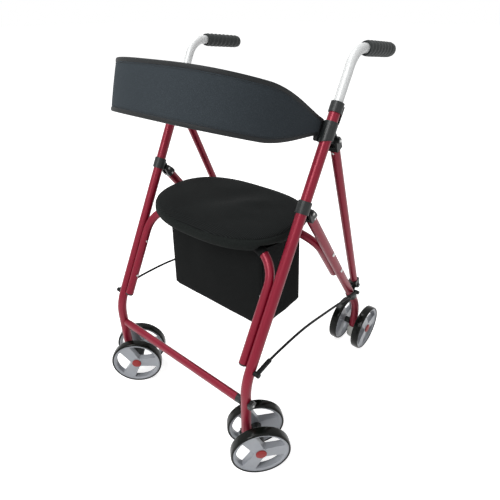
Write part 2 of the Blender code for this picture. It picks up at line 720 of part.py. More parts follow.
def seat_rest(name, side):
    """A block on the rear cross member that carries the seat board."""
    middle = side * REST_X
    low = (middle - REST_HALF_WIDTH, REAR_MEMBER.y - REST_HALF_DEPTH, REAR_MEMBER.z)
    high = (middle + REST_HALF_WIDTH, REAR_MEMBER.y + REST_HALF_DEPTH, BOARD_Z - CLEARANCE)
    bm = bmesh.new()
    box(bm, low, high)
    made = node(name, rear_frame, "black", bm)
    saddle = bmesh.new()
    radius = bore(SEAT_TUBE_RADIUS, SEAT_TUBE_SIDES)
    reach = 2 * REST_HALF_WIDTH
    turned(saddle, REAR_MEMBER + X * middle, X, ((radius, -reach), (radius, reach)))
    combine(made, saddle, "DIFFERENCE")


def build_struts():
    length = (STRUT_FOOT - STRUT_PIVOT).length
    foot_body = STRUT_FOOT_SLOT + STRUT_FOOT_BODY
    half = STRUT_RADIUS + FORK_STEP
    for word, side in SIDES.items():
        fork(
            f"strut_top_{word}", struts, side, "black", STRUT_PIVOT, DOWN_STRUT, STRUT_FORK_LENGTH,
            KNUCKLE_SLOT, STRUT_RADIUS - FORK_STEP, True,
        )
        made = fork(
            f"strut_{word}", struts, side, "red", STRUT_FOOT, -DOWN_STRUT, foot_body, STRUT_FOOT_SLOT, half, False,
        )
        origin = STRUT_PIVOT + X * side * LEG_HALF_TRACK
        ends = (STRUT_FORK_LENGTH + CLEARANCE, length - foot_body + STRUT_FOOT_BODY / 2)
        bm = bmesh.new()
        turned(bm, origin, DOWN_STRUT, [(STRUT_RADIUS, along) for along in ends])
        combine(made, bm, "UNION")


def superellipse(half_width, half_depth, exponent, z, count=32):
    points = []
    for i in range(count):
        angle = 2 * math.pi * i / count
        c, s = math.cos(angle), math.sin(angle)
        x = half_width * math.copysign(abs(c) ** (2 / exponent), c)
        y = half_depth * math.copysign(abs(s) ** (2 / exponent), s)
        points.append(Vector((x, SEAT_MIDDLE_Y + y, z)))
    return points


def build_seat():
    """Cushion with a pocket for the board, a rim seam and a low crown."""
    a, b = SEAT_HALF_WIDTH, SEAT_HALF_DEPTH
    seam = BOARD_Z + SEAT_HEIGHT
    pocket = BOARD_MARGIN - CLEARANCE
    ceiling = BOARD_Z + BOARD_THICKNESS + CLEARANCE
    rim = (
        (pocket, ceiling - BOARD_Z), (pocket, 0), (0.007, 0), (0.001, 0.005), (-SEAT_SAG, SEAT_HEIGHT / 2),
        (0.0, SEAT_HEIGHT - 0.002), (0.0022, SEAT_HEIGHT), (0.0006, SEAT_HEIGHT + 0.002), (0.004, SEAT_HEIGHT + 0.005),
    )
    rings = [superellipse(a - inset, b - inset, SEAT_EXPONENT, BOARD_Z + up) for inset, up in rim]
    for share in (0.86, 0.68, 0.45, 0.2):
        up = 0.005 + (SEAT_CROWN - 0.005) * (1 - share ** 2.6)
        rings.append(superellipse(a * share, b * share, SEAT_EXPONENT, seam + up))
    bm = bmesh.new()
    skin(bm, rings)
    node("seat_cushion", seat, "fabric", bm)
    seat_board(a - BOARD_MARGIN - CLEARANCE, b - BOARD_MARGIN - CLEARANCE)


def seat_board(a, b):
    """The board in the cushion's pocket, with two clips that hinge on the front cross member."""
    bm = bmesh.new()
    skin(bm, [superellipse(a, b, SEAT_EXPONENT, BOARD_Z + up) for up in (0, BOARD_THICKNESS)])
    board = node("seat_board", seat, "board", bm)
    radius = bore(SEAT_TUBE_RADIUS, SEAT_TUBE_SIDES)
    turn = Vector((0, 1, 0))
    bottom = arc(FRONT_MEMBER, turn, CLIP_RADIUS, -math.pi, 0, 10)
    top = BOARD_Z + BOARD_THICKNESS / 2
    outline = [*bottom, (FRONT_MEMBER.y + CLIP_RADIUS, top), (FRONT_MEMBER.y - CLIP_RADIUS, top)]
    for side in (1, -1):
        clip = bmesh.new()
        slab(clip, outline, side * CLIP_X - CLIP_HALF_WIDTH, side * CLIP_X + CLIP_HALF_WIDTH)
        combine(board, clip, "UNION")
    hole = bmesh.new()
    reach = CLIP_X + 2 * CLIP_HALF_WIDTH
    turned(hole, FRONT_MEMBER, X, ((radius, -reach), (radius, reach)))
    combine(board, hole, "DIFFERENCE")


def bag_ring(share, inset, z_of):
    """One loop of the bag: share runs 0 at the floor to 1 at the mouth, inset draws it in."""
    half = BAG_HALF_WIDTH + (BAG_TOP_HALF_WIDTH - BAG_HALF_WIDTH) * share - inset
    low, high = BAG_FRONT_Y + inset, BAG_REAR_Y - inset
    corner = BAG_CORNER - inset
    points = []
    for cx, cy, start in (
        (half - corner, high - corner, 0), (corner - half, high - corner, 1),
        (corner - half, low + corner, 2), (half - corner, low + corner, 3),
    ):
        for i in range(4):
            angle = (start + i / 3) * math.pi / 2
            x, y = cx + corner * math.cos(angle), cy + corner * math.sin(angle)
            points.append(Vector((x, y, z_of(y))))
    return points


def bag_mouth(y):
    share = (y - BAG_FRONT_Y) / (BAG_REAR_Y - BAG_FRONT_Y)
    return BAG_FRONT_TOP_Z + (BAG_REAR_TOP_Z - BAG_FRONT_TOP_Z) * share


def strap_outline(centre, tail, first, last, slit):
    """A strap round a seat tube with a hanging tail. Angles are measured from straight down, toward +Y."""
    down = Vector((0, 0, -1))
    outer = bore(SEAT_TUBE_RADIUS) + STRAP_THICKNESS
    inner = bore(SEAT_TUBE_RADIUS)
    full = 2 * math.pi
    outside = arc(centre, down, outer, first, first - slit + full, 12)
    inside = arc(centre, down, inner, last, first - slit + full, 12)
    outer_tail, inner_tail = tail
    return [*outer_tail, *outside, *inside[::-1], *inner_tail]


def build_bag():
    bm = bmesh.new()
    floor = BAG_FLOOR_Z
    wall = BAG_WALL

    def level(share):
        return lambda y: floor * (1 - share) + bag_mouth(y) * share

    rings = [bag_ring(0, 0, level(0)), bag_ring(1, 0, level(1)), bag_ring(1, wall, level(1)), bag_ring(0, wall, level(0))]
    skin(bm, rings, caps=False)
    made = node("storage_bag", root, "fabric", bm)
    board = bmesh.new()
    inside = wall + CLEARANCE
    skin(board, [bag_ring(0, inside, lambda y: floor), bag_ring(0, inside, lambda y: floor + BAG_BOARD)])
    node("bag_floor", root, "fabric", board)
    front = BAG_FRONT_Y
    bottom = BAG_FRONT_TOP_Z - 0.030
    tail = (
        [(front + STRAP_THICKNESS, bottom)],
        [(front, bottom)],
    )
    offset = front - FRONT_MEMBER.y
    outer = math.asin((offset + STRAP_THICKNESS) / (bore(SEAT_TUBE_RADIUS) + STRAP_THICKNESS))
    inner = math.asin(offset / bore(SEAT_TUBE_RADIUS))
    for side in (1, -1):
        low, high = sorted(side * x for x in BAG_LOOP_X)
        loop = bmesh.new()
        slab(loop, strap_outline(FRONT_MEMBER, tail, outer, inner, STRAP_SLIT), low, high)
        combine(made, loop, "UNION")
    mouth = BAG_REAR_TOP_Z
    rear = BAG_REAR_Y + CLEARANCE
    back = rear + STRAP_THICKNESS
    low = mouth - BAG_STRAP_TAIL
    tail = (
        [(rear, low), (back, low), (back, mouth + 3 * STRAP_THICKNESS)],
        [(rear, mouth + 2 * STRAP_THICKNESS)],
    )
    bm = bmesh.new()
    outline = strap_outline(REAR_MEMBER, tail, *BAG_STRAP_LEAVES, STRAP_SLIT)
    slab(bm, outline, -BAG_STRAP_HALF_WIDTH, BAG_STRAP_HALF_WIDTH)
    node("bag_rear_strap", rear_frame, "fabric", bm)


def build_band():
    """The padded back band: a bowed strip whose height tapers to its bolted ends."""
    forward = Vector((0, -math.cos(BAND_TILT), math.sin(BAND_TILT)))
    upward = Vector((0, math.sin(BAND_TILT), math.cos(BAND_TILT)))
    origin = on_front_leg(BRACKET_LOW + BAND_END_RISE, BAND_END_OFFSET)
    power = 2 / BAND_EXPONENT
    centres = []
    for i in range(BAND_STATIONS + 1):
        angle = math.pi * i / BAND_STATIONS
        c, s = math.cos(angle), math.sin(angle)
        x = BAND_HALF_WIDTH * math.copysign(abs(c) ** power, c)
        centres.append(origin + X * x + forward * BAND_DEPTH * abs(s) ** power)
    gaps = [(b - a).length for a, b in zip(centres, centres[1:])]
    total = sum(gaps)
    rings = []
    along = 0.0
    for i, centre in enumerate(centres):
        share = abs(2 * along / total - 1)
        fall = max(0.0, (share - BAND_TAPER_START) / (1 - BAND_TAPER_START)) ** BAND_TAPER
        half = BAND_MIDDLE_HALF_HEIGHT + (BAND_END_HALF_HEIGHT - BAND_MIDDLE_HALF_HEIGHT) * fall
        ahead = (centres[min(i + 1, BAND_STATIONS)] - centres[max(i - 1, 0)]).normalized()
        if i in (0, BAND_STATIONS):
            ahead = forward if i == 0 else -forward
        out = ahead.cross(upward).normalized() * BAND_THICKNESS / 2
        rings.append([
            centre + out * w + upward * half * h for w, h in (
                (1, 0.82), (0.45, 0.98), (-0.45, 0.98), (-1, 0.82), (-1, -0.82), (-0.45, -0.98), (0.45, -0.98), (1, -0.82))
        ])
        if i < BAND_STATIONS:
            along += gaps[i]
    bm = bmesh.new()
    skin(bm, rings)
    node("backrest_band", root, "band", bm)


def smooth_route(points, count):
    """count points, evenly spread by parameter, on a Catmull-Rom curve through the route."""
    ends = [2 * points[0] - points[1], *points, 2 * points[-1] - points[-2]]
    made = []
    for k in range(count):
        place = k / (count - 1) * (len(points) - 1)
        i = min(int(place), len(points) - 2)
        t = place - i
        a, b, c, d = ends[i:i + 4]
        made.append(0.5 * (2 * b + (c - a) * t + (2 * a - 5 * b + 4 * c - d) * t ** 2 + (3 * b - a - 3 * c + d) * t ** 3))
    return made


def side_cable(name, side):
    """The cable that stops the legs from spreading: ferruled at both ends, each end bolted through an eye."""
    x = side * (LEG_HALF_TRACK + CABLE_STANDOFF)
    points = smooth_route([yz(point, x) for point in CABLE_ROUTE], CABLE_POINTS)
    curve = bpy.data.curves.new(name, "CURVE")
    curve.dimensions = "3D"
    curve.bevel_depth = CABLE_RADIUS
    curve.bevel_resolution = 2
    curve.use_fill_caps = True
    spline = curve.splines.new("POLY")
    spline.points.add(len(points) - 1)
    for made, point in zip(spline.points, points):
        made.co = (*point, 1.0)
        near_end = min((point - points[0]).length, (point - points[-1]).length)
        made.radius = FERRULE_RATIO if near_end < FERRULE_LENGTH else 1.0
    guide = bpy.data.objects.new(f"{name}_guide", curve)
    cutters.objects.link(guide)
    graph = bpy.context.evaluated_depsgraph_get()
    mesh = bpy.data.meshes.new_from_object(guide.evaluated_get(graph))
    bpy.data.objects.remove(guide)
    bm = bmesh.new()
    bm.from_mesh(mesh)
    bmesh.ops.remove_doubles(bm, verts=bm.verts, dist=1e-6)
    cable = node(name, root, "black", bm)
    face = LEG_HALF_TRACK + LEG_RADIUS + CLEARANCE
    depth = CABLE_STANDOFF - LEG_RADIUS + FERRULE_RATIO * CABLE_RADIUS
    head = depth + BOLT_HEIGHT / 2
    profile = ((CABLE_EYE_RADIUS, 0), (CABLE_EYE_RADIUS, depth), (BOLT_RADIUS, depth), (BOLT_RADIUS, head))
    for eye in (CABLE_ROUTE[0], CABLE_ROUTE[-1]):
        bm = bmesh.new()
        turned(bm, yz(eye, side * face), X * side, profile, sides=12)
        combine(cable, bm, "UNION")
    return cable


def turned_to(bm, yaw, place):
    bmesh.ops.rotate(bm, verts=bm.verts, cent=Vector(), matrix=Matrix.Rotation(-yaw, 3, "Z"))
    bmesh.ops.translate(bm, verts=bm.verts, vec=place)
    return bm


def tyre(bm):
    half = WHEEL_WIDTH / 2
    inner = bore(WHEEL_RADIUS - TYRE_DEPTH, WHEEL_SIDES)
    crown = WHEEL_RADIUS
    shoulder = crown - TYRE_SHOULDER
    profile = (
        (inner, -half + 0.001), (shoulder, -half), (crown, -half + 0.0035),
        (crown, half - 0.0035), (shoulder, half), (inner, half - 0.001),
    )
    turned(bm, Vector(), X, profile, sides=WHEEL_SIDES, closed=True, first=Vector((0, 0, -1)))


def rim_angles(radius, spoke_half_width):
    """Angles of one ring's points: SPOKE_COLUMNS steps over each spoke and WINDOW_COLUMNS over each window."""
    half = math.asin(spoke_half_width / radius)
    sector = 2 * math.pi / SPOKES
    angles = []
    for spoke in range(SPOKES):
        start = spoke * sector - half
        angles += [start + 2 * half * i / SPOKE_COLUMNS for i in range(SPOKE_COLUMNS)]
        angles += [start + 2 * half + (sector - 2 * half) * i / WINDOW_COLUMNS for i in range(WINDOW_COLUMNS)]
    return angles


def rim(bm):
    """A wheel with three broad spokes and three windows right through it."""
    outer = WHEEL_RADIUS - TYRE_DEPTH
    inner = outer - RIM_BAND
    hub_angles = rim_angles(RIM_HUB_RADIUS, SPOKE_HALF_WIDTH_HUB)
    rim_set = rim_angles(inner, SPOKE_HALF_WIDTH_RIM)
    count = len(hub_angles)
    even = [2 * math.pi * (k - SPOKE_COLUMNS / 2) / count for k in range(count)]
    circles = ((bore(AXLE_RADIUS, count), even), (RIM_HUB_RADIUS, hub_angles), (inner, rim_set), (outer, rim_set))
    per_sector = SPOKE_COLUMNS + WINDOW_COLUMNS
    grid = [
        [[bm.verts.new((x, r * math.cos(a), r * math.sin(a))) for a in angles] for r, angles in circles]
        for x in (-RIM_WIDTH / 2, RIM_WIDTH / 2)
    ]
    faces = []

    def wall(a, b):
        faces.append(bm.faces.new((grid[0][a[0]][a[1]], grid[0][b[0]][b[1]], grid[1][b[0]][b[1]], grid[1][a[0]][a[1]])))

    for k in range(count):
        n = (k + 1) % count
        spoke = k % per_sector < SPOKE_COLUMNS
        for face in grid:
            for low in (0, 1, 2):
                if low != 1 or spoke:
                    faces.append(bm.faces.new((face[low][k], face[low][n], face[low + 1][n], face[low + 1][k])))
        wall((0, k), (0, n))
        wall((3, k), (3, n))
        if not spoke:
            wall((1, k), (1, n))
            wall((2, k), (2, n))
        if k % per_sector in (0, SPOKE_COLUMNS):
            wall((1, k), (2, k))
    bmesh.ops.recalc_face_normals(bm, faces=faces)


def wheel(name, parent, centre, yaw):
    spin = empty(f"spin_{name}", centre, parent)
    bm = bmesh.new()
    tyre(bm)
    node(f"tyre_{name}", spin, "tyre", turned_to(bm, yaw, centre))
    bm = bmesh.new()
    rim(bm)
    node(f"rim_{name}", spin, "rim", turned_to(bm, yaw, centre))


def caster(word, side):
    """A swivelling crown and trailing arm with a barrel for the axle of two wheels."""
    yaw = CASTER_YAW[side]
    stem = yz((STEM_Y, 0), side * LEG_HALF_TRACK)
    swivel = empty(f"caster_swivel_{word}", stem + Vector((0, 0, FRONT_LEG_FOOT_Z)), root)
    top = FRONT_LEG_FOOT_Z - CLEARANCE
    low = top - CASTER_CROWN_HEIGHT
    bm = bmesh.new()
    crown = CASTER_CROWN_RADIUS
    profile = (
        (crown - 0.002, low), (crown, low + 0.003), (crown, top - 0.002), (crown - 0.002, top),
        (STEM_RADIUS, top), (STEM_RADIUS, top + STEM_LENGTH),
    )
    turned(bm, Vector(), Vector((0, 0, 1)), profile)
    made = node(f"caster_body_{word}", swivel, "black", turned_to(bm, yaw, stem))
    axle_at = Vector((0, CASTER_TRAIL, WHEEL_RADIUS))
    bm = bmesh.new()
    reach = TWIN_SPACING / 2 - RIM_WIDTH / 2 - CLEARANCE
    turned(bm, axle_at, X, ((CASTER_BARREL_RADIUS, -reach), (CASTER_BARREL_RADIUS, reach)))
    combine(made, turned_to(bm, yaw, stem), "UNION")
    bm = bmesh.new()
    under = arc(axle_at, Vector((0, 0, -1)), CASTER_BARREL_RADIUS - 0.001, -0.9, 1.9, 8)
    outline = [*under, (CASTER_CROWN_RADIUS, top - 0.003), (-CASTER_CROWN_RADIUS + 0.003, top - 0.003),
               (-CASTER_CROWN_RADIUS + 0.003, low + 0.001)]
    slab(bm, outline, -CASTER_ARM_HALF_WIDTH, CASTER_ARM_HALF_WIDTH)
    combine(made, turned_to(bm, yaw, stem), "UNION")
    bm = bmesh.new()
    turned(bm, axle_at, X, ((bore(AXLE_RADIUS), -2 * reach), (bore(AXLE_RADIUS), 2 * reach)))
    combine(made, turned_to(bm, yaw, stem), "DIFFERENCE")
    bm = bmesh.new()
    axle(bm, axle_at, X, None)
    node(f"caster_axle_{word}", swivel, "cap", turned_to(bm, yaw, stem))
    for place, way in (("outer", side), ("inner", -side)):
        offset = Matrix.Rotation(-yaw, 3, "Z") @ Vector((way * TWIN_SPACING / 2, CASTER_TRAIL, WHEEL_RADIUS))
        wheel(f"front_{word}_{place}", swivel, stem + offset, yaw)


def build_rear_wheels():
    for word, side in SIDES.items():
        for place, way in (("outer", side), ("inner", -side)):
            x = side * LEG_HALF_TRACK + way * TWIN_SPACING / 2
            wheel(f"rear_{word}_{place}", rear_frame, yz((REAR_AXLE_Y, WHEEL_RADIUS), x), 0.0)


build_front_frame()
build_sleeves()
build_rear_frame()
build_struts()
build_seat()
build_bag()
build_band()
for word, side in SIDES.items():
    handle(word, side)
    side_cable(f"limiter_cable_{word}", side)
    caster(word, side)
build_rear_wheels()
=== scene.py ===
"""Looks of the folding walker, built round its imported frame. Sizes are in metres, in the walker's own frame.

(y, z) pairs lie in its middle plane. A station is a distance along a leg: up from a front leg's bend, down from a rear
leg's pivot."""

import math

import bmesh
import bpy
from mathutils import Matrix, Vector


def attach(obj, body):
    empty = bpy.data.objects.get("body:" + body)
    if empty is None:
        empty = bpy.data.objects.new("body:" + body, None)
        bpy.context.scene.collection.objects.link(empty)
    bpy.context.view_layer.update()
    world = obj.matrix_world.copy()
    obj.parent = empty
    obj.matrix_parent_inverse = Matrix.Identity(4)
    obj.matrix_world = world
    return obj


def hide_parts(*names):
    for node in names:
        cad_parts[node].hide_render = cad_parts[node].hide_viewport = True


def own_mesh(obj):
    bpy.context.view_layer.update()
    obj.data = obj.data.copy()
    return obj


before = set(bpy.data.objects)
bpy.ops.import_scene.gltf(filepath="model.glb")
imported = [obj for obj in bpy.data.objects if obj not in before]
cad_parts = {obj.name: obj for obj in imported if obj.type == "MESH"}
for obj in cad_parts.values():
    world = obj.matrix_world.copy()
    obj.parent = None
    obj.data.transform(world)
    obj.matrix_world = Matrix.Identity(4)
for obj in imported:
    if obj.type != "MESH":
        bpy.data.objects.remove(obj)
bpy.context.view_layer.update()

# Sizes
WALKER_ORIGIN = Vector((-0.01965, -0.094635, 0.0))
CLEARANCE = 0.0003
TUBE_SIDES = 40
BEND_STEPS = 24
EYE_STEPS = 18
HAIR = 1e-5

# Bolts: heads on the legs, small nuts and pin ends, each (height of the side, height of the top, top's share)
BOLT_RADIUS = 0.0055
BOLT_HEIGHT = 0.0035
BOLT_SINK = 0.003
BOLT_SIDES = 24
PIN_SIDES = 32
NUT_RADIUS = 0.0032
LEG_BOLT = (BOLT_HEIGHT / 3, BOLT_HEIGHT / 2, 0.5)
PIN_END = (0.0008, 0.0018, 0.6)
TUBE_NUT = (0.0006, 0.0016, 0.6)
KNOB_BOLT = (0.0010, 0.0024, 0.5)
KNOB_BOLT_RADIUS = 0.0030
KNUCKLE_BOLT = 0.0220
STRUT_BOLT = 0.0050

# Front legs: upright over the caster, then leaning back
LEG_HALF_TRACK = 0.239
LEG_RADIUS = 0.0125
STEM_Y = -0.196
FRONT_CORNER_Z = 0.2647
FRONT_LEAN = math.radians(28.2)
LEG_BEND_RADIUS = 0.150
FRONT_LEG_FOOT_Z = 0.098
FRONT_LEG_TOP = 0.6496

# Rear legs: from the rear pivot down to the upright part over the axle
REAR_AXLE_Y = 0.3784
REAR_LEAN = math.radians(37.25)
PIVOT_STATION = 0.4177
REAR_LEG_FOOT_Z = 0.057
REAR_PIVOT_OFFSET = 0.0240

# Sleeves, knuckles and the pivots' lugs and forks
RING_RADIUS = 0.0158
SLEEVE_LOW = -0.0076
SLEEVE_HIGH = 0.0209
EYE_RADIUS = 0.0088
LUG_HALF_WIDTH = 0.0060
FORK_HALF_WIDTH = 0.0125
PIN_RADIUS = 0.0040
PIN_HEAD_RADIUS = 0.0062
PIN_HEAD_HEIGHT = 0.0035
KNUCKLE_LENGTH = 0.0250
KNUCKLE_SLOT = 0.0140
FORK_STEP = 0.0005

# Handle tubes, their collars and grips
HANDLE_RADIUS = 0.0105
HANDLE_INSERT = 0.200
HANDLE_DROP = 0.060
HANDLE_CORNER = 0.7673
HANDLE_BEND_RADIUS = 0.060
GRIP_SLOPE = math.radians(5.0)
GRIP_START = 0.0445
GRIP_LENGTH = 0.1365
GRIP_RADIUS = 0.0165
GRIP_RIBS = 8
GRIP_STEPS = 80
GRIP_TWIST = 2
GRIP_WAVE_POWER = 0.7
GRIP_DOME_STEPS = 7
GRIP_END_RADIUS = 0.45
GRIP_RIB_DEPTH = 0.0017
GRIP_FADE = 12
GRIP_DOME = 0.007
GRIP_END_WALL = 0.006
COLLAR_LOW = 0.6311
COLLAR_LIP = 0.0035
COLLAR_RADIUS = 0.0148
COLLAR_TONGUE_DROP = 0.019
COLLAR_TONGUE_HALF_WIDTH = 0.0048
COLLAR_TONGUE_DEPTH = 0.0160
COLLAR_TONGUE_SHIFT = 0.0060
COLLAR_TONGUE_TAPER = 0.001

# Top brackets and struts
BRACKET_LOW = 0.5640
BRACKET_HIGH = 0.6116
BRACKET_TRIM = 0.006
BRACKET_SLANT = 0.0055
BRACKET_SLANT_WAY = (-0.77, -0.64)
STRUT_PIVOT_STATION = 0.5841
STRUT_PIVOT_OFFSET = 0.0342
STRUT_RADIUS = 0.0110
STRUT_FORK_LENGTH = 0.0250
STRUT_FOOT_STATION = 0.4815
STRUT_FOOT_OFFSET = 0.0310
STRUT_FOOT_SLOT = 0.0190
STRUT_FOOT_BODY = 0.008
FOOT_EYE_RADIUS = 0.0070
CLAMP_LOW = 0.4880
CLAMP_HIGH = 0.5100

# U-shaped seat tubes
SEAT_TUBE_RADIUS = 0.0110
SEAT_TUBE_HALF_TRACK = 0.2152
FRONT_TUBE_TOP = 0.3096
FRONT_TUBE_END = 0.0380
FRONT_TUBE_BEND = 0.078
FRONT_TUBE_BOLTS = (0.2046, 0.1016)
REAR_TUBE_TOP = 0.1340
REAR_TUBE_END = 0.3500
REAR_TUBE_BEND = 0.070
REAR_TUBE_BOLTS = (0.206, 0.305)
TUBE_CAP_LENGTH = 0.005

# Lower crossbar with its plugs and knobs
CROSSBAR_Z = 0.202
CROSSBAR_HALF_HEIGHT = 0.0125
CROSSBAR_HALF_DEPTH = 0.0095
CROSSBAR_PLUG = 0.0145
CROSSBAR_PLUG_STEP = 0.0006
KNOB_RADIUS = 0.0120
KNOB_LOBES = 5
KNOB_STEPS = 14
KNOB_LOBE_DEPTH = 0.0016
KNOB_HEIGHT = 0.0090
KNOB_Z = 0.208

# Seat
SEAT_MIDDLE_Y = 0.014
SEAT_HALF_WIDTH = 0.207
SEAT_HALF_DEPTH = 0.134
SEAT_EXPONENT = 2.45
SEAT_HEIGHT = 0.0330
SEAT_CROWN = 0.0160
SEAT_SAG = 0.0025
SEAT_SLOPE = 0.0095
SEAT_CENTRE_SLOPE = 0.45
SEAT_SKIRT = 0.0135
SEAT_REAR_SKIRT = 0.0065
SEAT_SKIRT_START = 0.0160
SEAT_SKIRT_FADE = 0.0140
SEAT_CORNER_EXPONENT = 3.2
SEAT_SIDES = 128
# (inset, height) of the cushion's loops, from its pocket over the sagging side and the seam to the top
SEAT_RIM = (
    (0.012, 0), (0.006, 0.0005), (0.002, 0.003), (0.0, 0.007), (-SEAT_SAG * 0.8, SEAT_HEIGHT * 0.35),
    (-SEAT_SAG, SEAT_HEIGHT * 0.55), (-SEAT_SAG * 0.7, SEAT_HEIGHT * 0.78), (-0.0006, SEAT_HEIGHT - 0.003),
    (0.0012, SEAT_HEIGHT - 0.0008), (0.0021, SEAT_HEIGHT + 0.0002), (0.0017, SEAT_HEIGHT + 0.0014),
    (0.0024, SEAT_HEIGHT + 0.0034), (0.0058, SEAT_HEIGHT + 0.0062), (0.0120, SEAT_HEIGHT + 0.0084),
)
SEAT_TOP_RINGS = 16
SEAT_TOP_SHARE = 0.915
SEAT_TOP_HEIGHT = 0.0095
SEAT_TOP_POWER = 2.2
SEAT_EDGE_SHARE = 0.94
# Dents of the used cushion: (depth, then middle and spread of each direction)
SEAT_HOLLOW = (0.0015, 0.0, 0.010, 0.0, 0.0045)
SEAT_VALLEY = (0.0045, 0.015, 0.0065, -0.006, 0.0010)
SEAT_RIDGE = (-0.0060, 0.015, 0.0065, 0.062, 0.0010)
SEAT_FOLDS = (0.0016, 0.075, 0.0030, -0.085, 0.0030)
SEAT_FOLD_RATE = 95
SEAT_VALLEY_TURN = (0.5, 0.866)
SEAT_FOLD_TURN = (0.83, 0.56)
SEAT_SEAM_RISE = 0.001
BOARD_THICKNESS = 0.012
BOARD_MARGIN = 0.022
SEAT_TUBE_GAP = 0.0030
CLIP_X = 0.090
CLIP_HALF_WIDTH = 0.015
CLIP_RADIUS = 0.0138
CLIP_STEPS = 10
REST_X = 0.100
REST_HALF_WIDTH = 0.014
REST_HALF_DEPTH = 0.012

# Bag
BAG_FLOOR_Z = 0.287
BAG_FRONT_Y = -0.042
BAG_REAR_Y = 0.127
BAG_HALF_WIDTH = 0.170
BAG_TOP_HALF_WIDTH = 0.160
BAG_FRONT_TOP_Z = 0.5225
BAG_REAR_TOP_Z = 0.4970
BAG_WALL = 0.003
BAG_CORNER = 0.012
BAG_BULGE = 0.002
BAG_RINGS = 20
BAG_FLOOR_EDGE = ((0, 0.010), (0.008, 0.004))
BAG_SIDE_SINK = 0.0075
BAG_SIDE_WAVE = 0.0012
BAG_SIDE_WAVES = (5, 9)
BAG_PANEL_PUFF = 0.0042
BAG_PANEL_FOLD = 0.0009
# Folds of the bag's front and rear panels: (height, rate along the panel, rate up it, shift by the panel's number)
BAG_PANEL_FOLDS = ((1.0, 7, 3.5, 0), (0.6, 15, -6, 1))
BAG_FOLD_AT_FLOOR = 0.3
BAG_BELLY_RISE = 1.05
BAG_PANEL_STEPS = 16
BAG_CORNER_STEPS = 6
BAG_FIRST_RING = 0.04
BAG_HEM_DROP = 0.030
BAG_STRAP_TAIL = 0.016
BAG_HEMS = ((-0.137, -0.107), (-0.073, 0.073), (0.107, 0.137))
BAG_HEM_TURN = math.radians(33)
BAG_PIPING = 0.0016
BAG_PIPING_STEPS = 12
BAG_PIPING_SINK = 0.3
BAG_PIPING_SPAN = (0.03, 0.96)
BAG_HEM_STEPS = 10
BAG_STRAP_HALF_WIDTH = 0.030
BAG_STRAP_LEAVES = (1.05, 0.92)
STRAP_SLIT = 0.28
STRAP_THICKNESS = 0.0016
STRAP_STEPS = 12

# Back band, in a plane tilted about X
BAND_END_RISE = 0.0339
BAND_END_OFFSET = -0.0029
BAND_TILT = math.radians(18.0)
BAND_HALF_WIDTH = 0.2189
BAND_DEPTH = 0.2835
BAND_EXPONENT = 3.14
BAND_MIDDLE_HALF_HEIGHT = 0.0536
BAND_END_HALF_HEIGHT = 0.0165
BAND_TAPER_START = 0.564
BAND_TAPER = 1.63
BAND_TAPER_SHARE = 0.5
BAND_THICKNESS = 0.008
BAND_STATIONS = 96
BAND_SIDES = 28
BAND_ROUND = 0.6
BAND_SQUARE = 0.35
BAND_PUFF = 0.16
BAND_INSET = 0.985
BINDING_HALF_HEIGHT = 0.0048
BINDING_RISE = 0.0008
CUFF_SHARE = 0.35
CUFF_RISE = 0.0012
CUFF_REACH = 0.0006
TAB_PLACE = 0.005
TAB_HALF_LENGTH = 0.009
TAB_HALF_HEIGHT = 0.014
TAB_HALF_THICKNESS = 0.0055
TAB_RINGS = ((-1.0, 0.82), (-0.8, 1.0), (0.8, 1.0), (1.0, 0.82))
STITCH_INSET = 0.0016
STITCH_LENGTH = 0.0030
STITCH_PITCH = 0.0046
STITCH_RADIUS = 0.00035
STITCH_LIFT = 1.04
CORD_SIDES = 8

# Cables at the sides
CABLE_RADIUS = 0.0033
CABLE_STANDOFF = 0.0195
CABLE_ROUTE = (
    (-0.180, 0.297), (-0.134, 0.306), (-0.078, 0.307), (0.017, 0.305),
    (0.102, 0.288), (0.170, 0.276), (0.238, 0.261), (0.275, 0.2535), (0.318, 0.245),
)
CABLE_POINTS = 120
FERRULE_LENGTH = 0.052
FERRULE_RATIO = 1.75
CABLE_EYE_RADIUS = 0.0060

# Wheels and casters
WHEEL_RADIUS = 0.075
WHEEL_WIDTH = 0.025
TWIN_SPACING = 0.080
TYRE_DEPTH = 0.005
TYRE_SHOULDER = 0.0045
TYRE_CROWN = 0.0004
TYRE_SHOULDER_STEPS = 6
TYRE_BEAD = 0.001
TYRE_TREAD = (0.6, 0.2)
RIM_WIDTH = 0.021
RIM_BAND = 0.0080
RIM_BEAD = 0.0058
RIM_BOSS = 0.0008
RIM_DISH = 0.0022
WINDOW_CORNER = 0.002
WINDOW_DRAFT = 0.0008
SPOKES = 3
SPOKE_HALF_WIDTH_HUB = 0.0140
SPOKE_HALF_WIDTH_RIM = 0.0185
RIM_HUB_RADIUS = 0.0175
AXLE_RADIUS = 0.0050
HUB_CAP_RADIUS = 0.0135
HUB_CAP_HEIGHT = 0.0040
HUB_CAP_DOME = 0.0015
WHEEL_SIDES = 96
SPOKE_COLUMNS = 10
WINDOW_COLUMNS = 22
CASTER_TRAIL = 0.029
CASTER_YAW = {1: math.radians(41.7), -1: math.radians(48.2)}
CASTER_BARREL_RADIUS = 0.014
CASTER_CROWN_RADIUS = 0.0170
CASTER_CROWN_HEIGHT = 0.0130
CASTER_ARM_HALF_WIDTH = 0.015
CASTER_ARM_INSET = 0.003
CASTER_ARM_ARC = (-0.9, 1.9, 8)
CASTER_EDGE = 0.002
STEM_RADIUS = 0.0050
STEM_LENGTH = 0.024
AXLE_SPACER_RADIUS = 0.0100
BRAKE_FOOT_LOW = 0.020
BRAKE_FOOT_RADIUS = 0.0165
BRAKE_FOOT_CUP = 0.006
BRAKE_FOOT_EDGE = (0.003, 0.004)

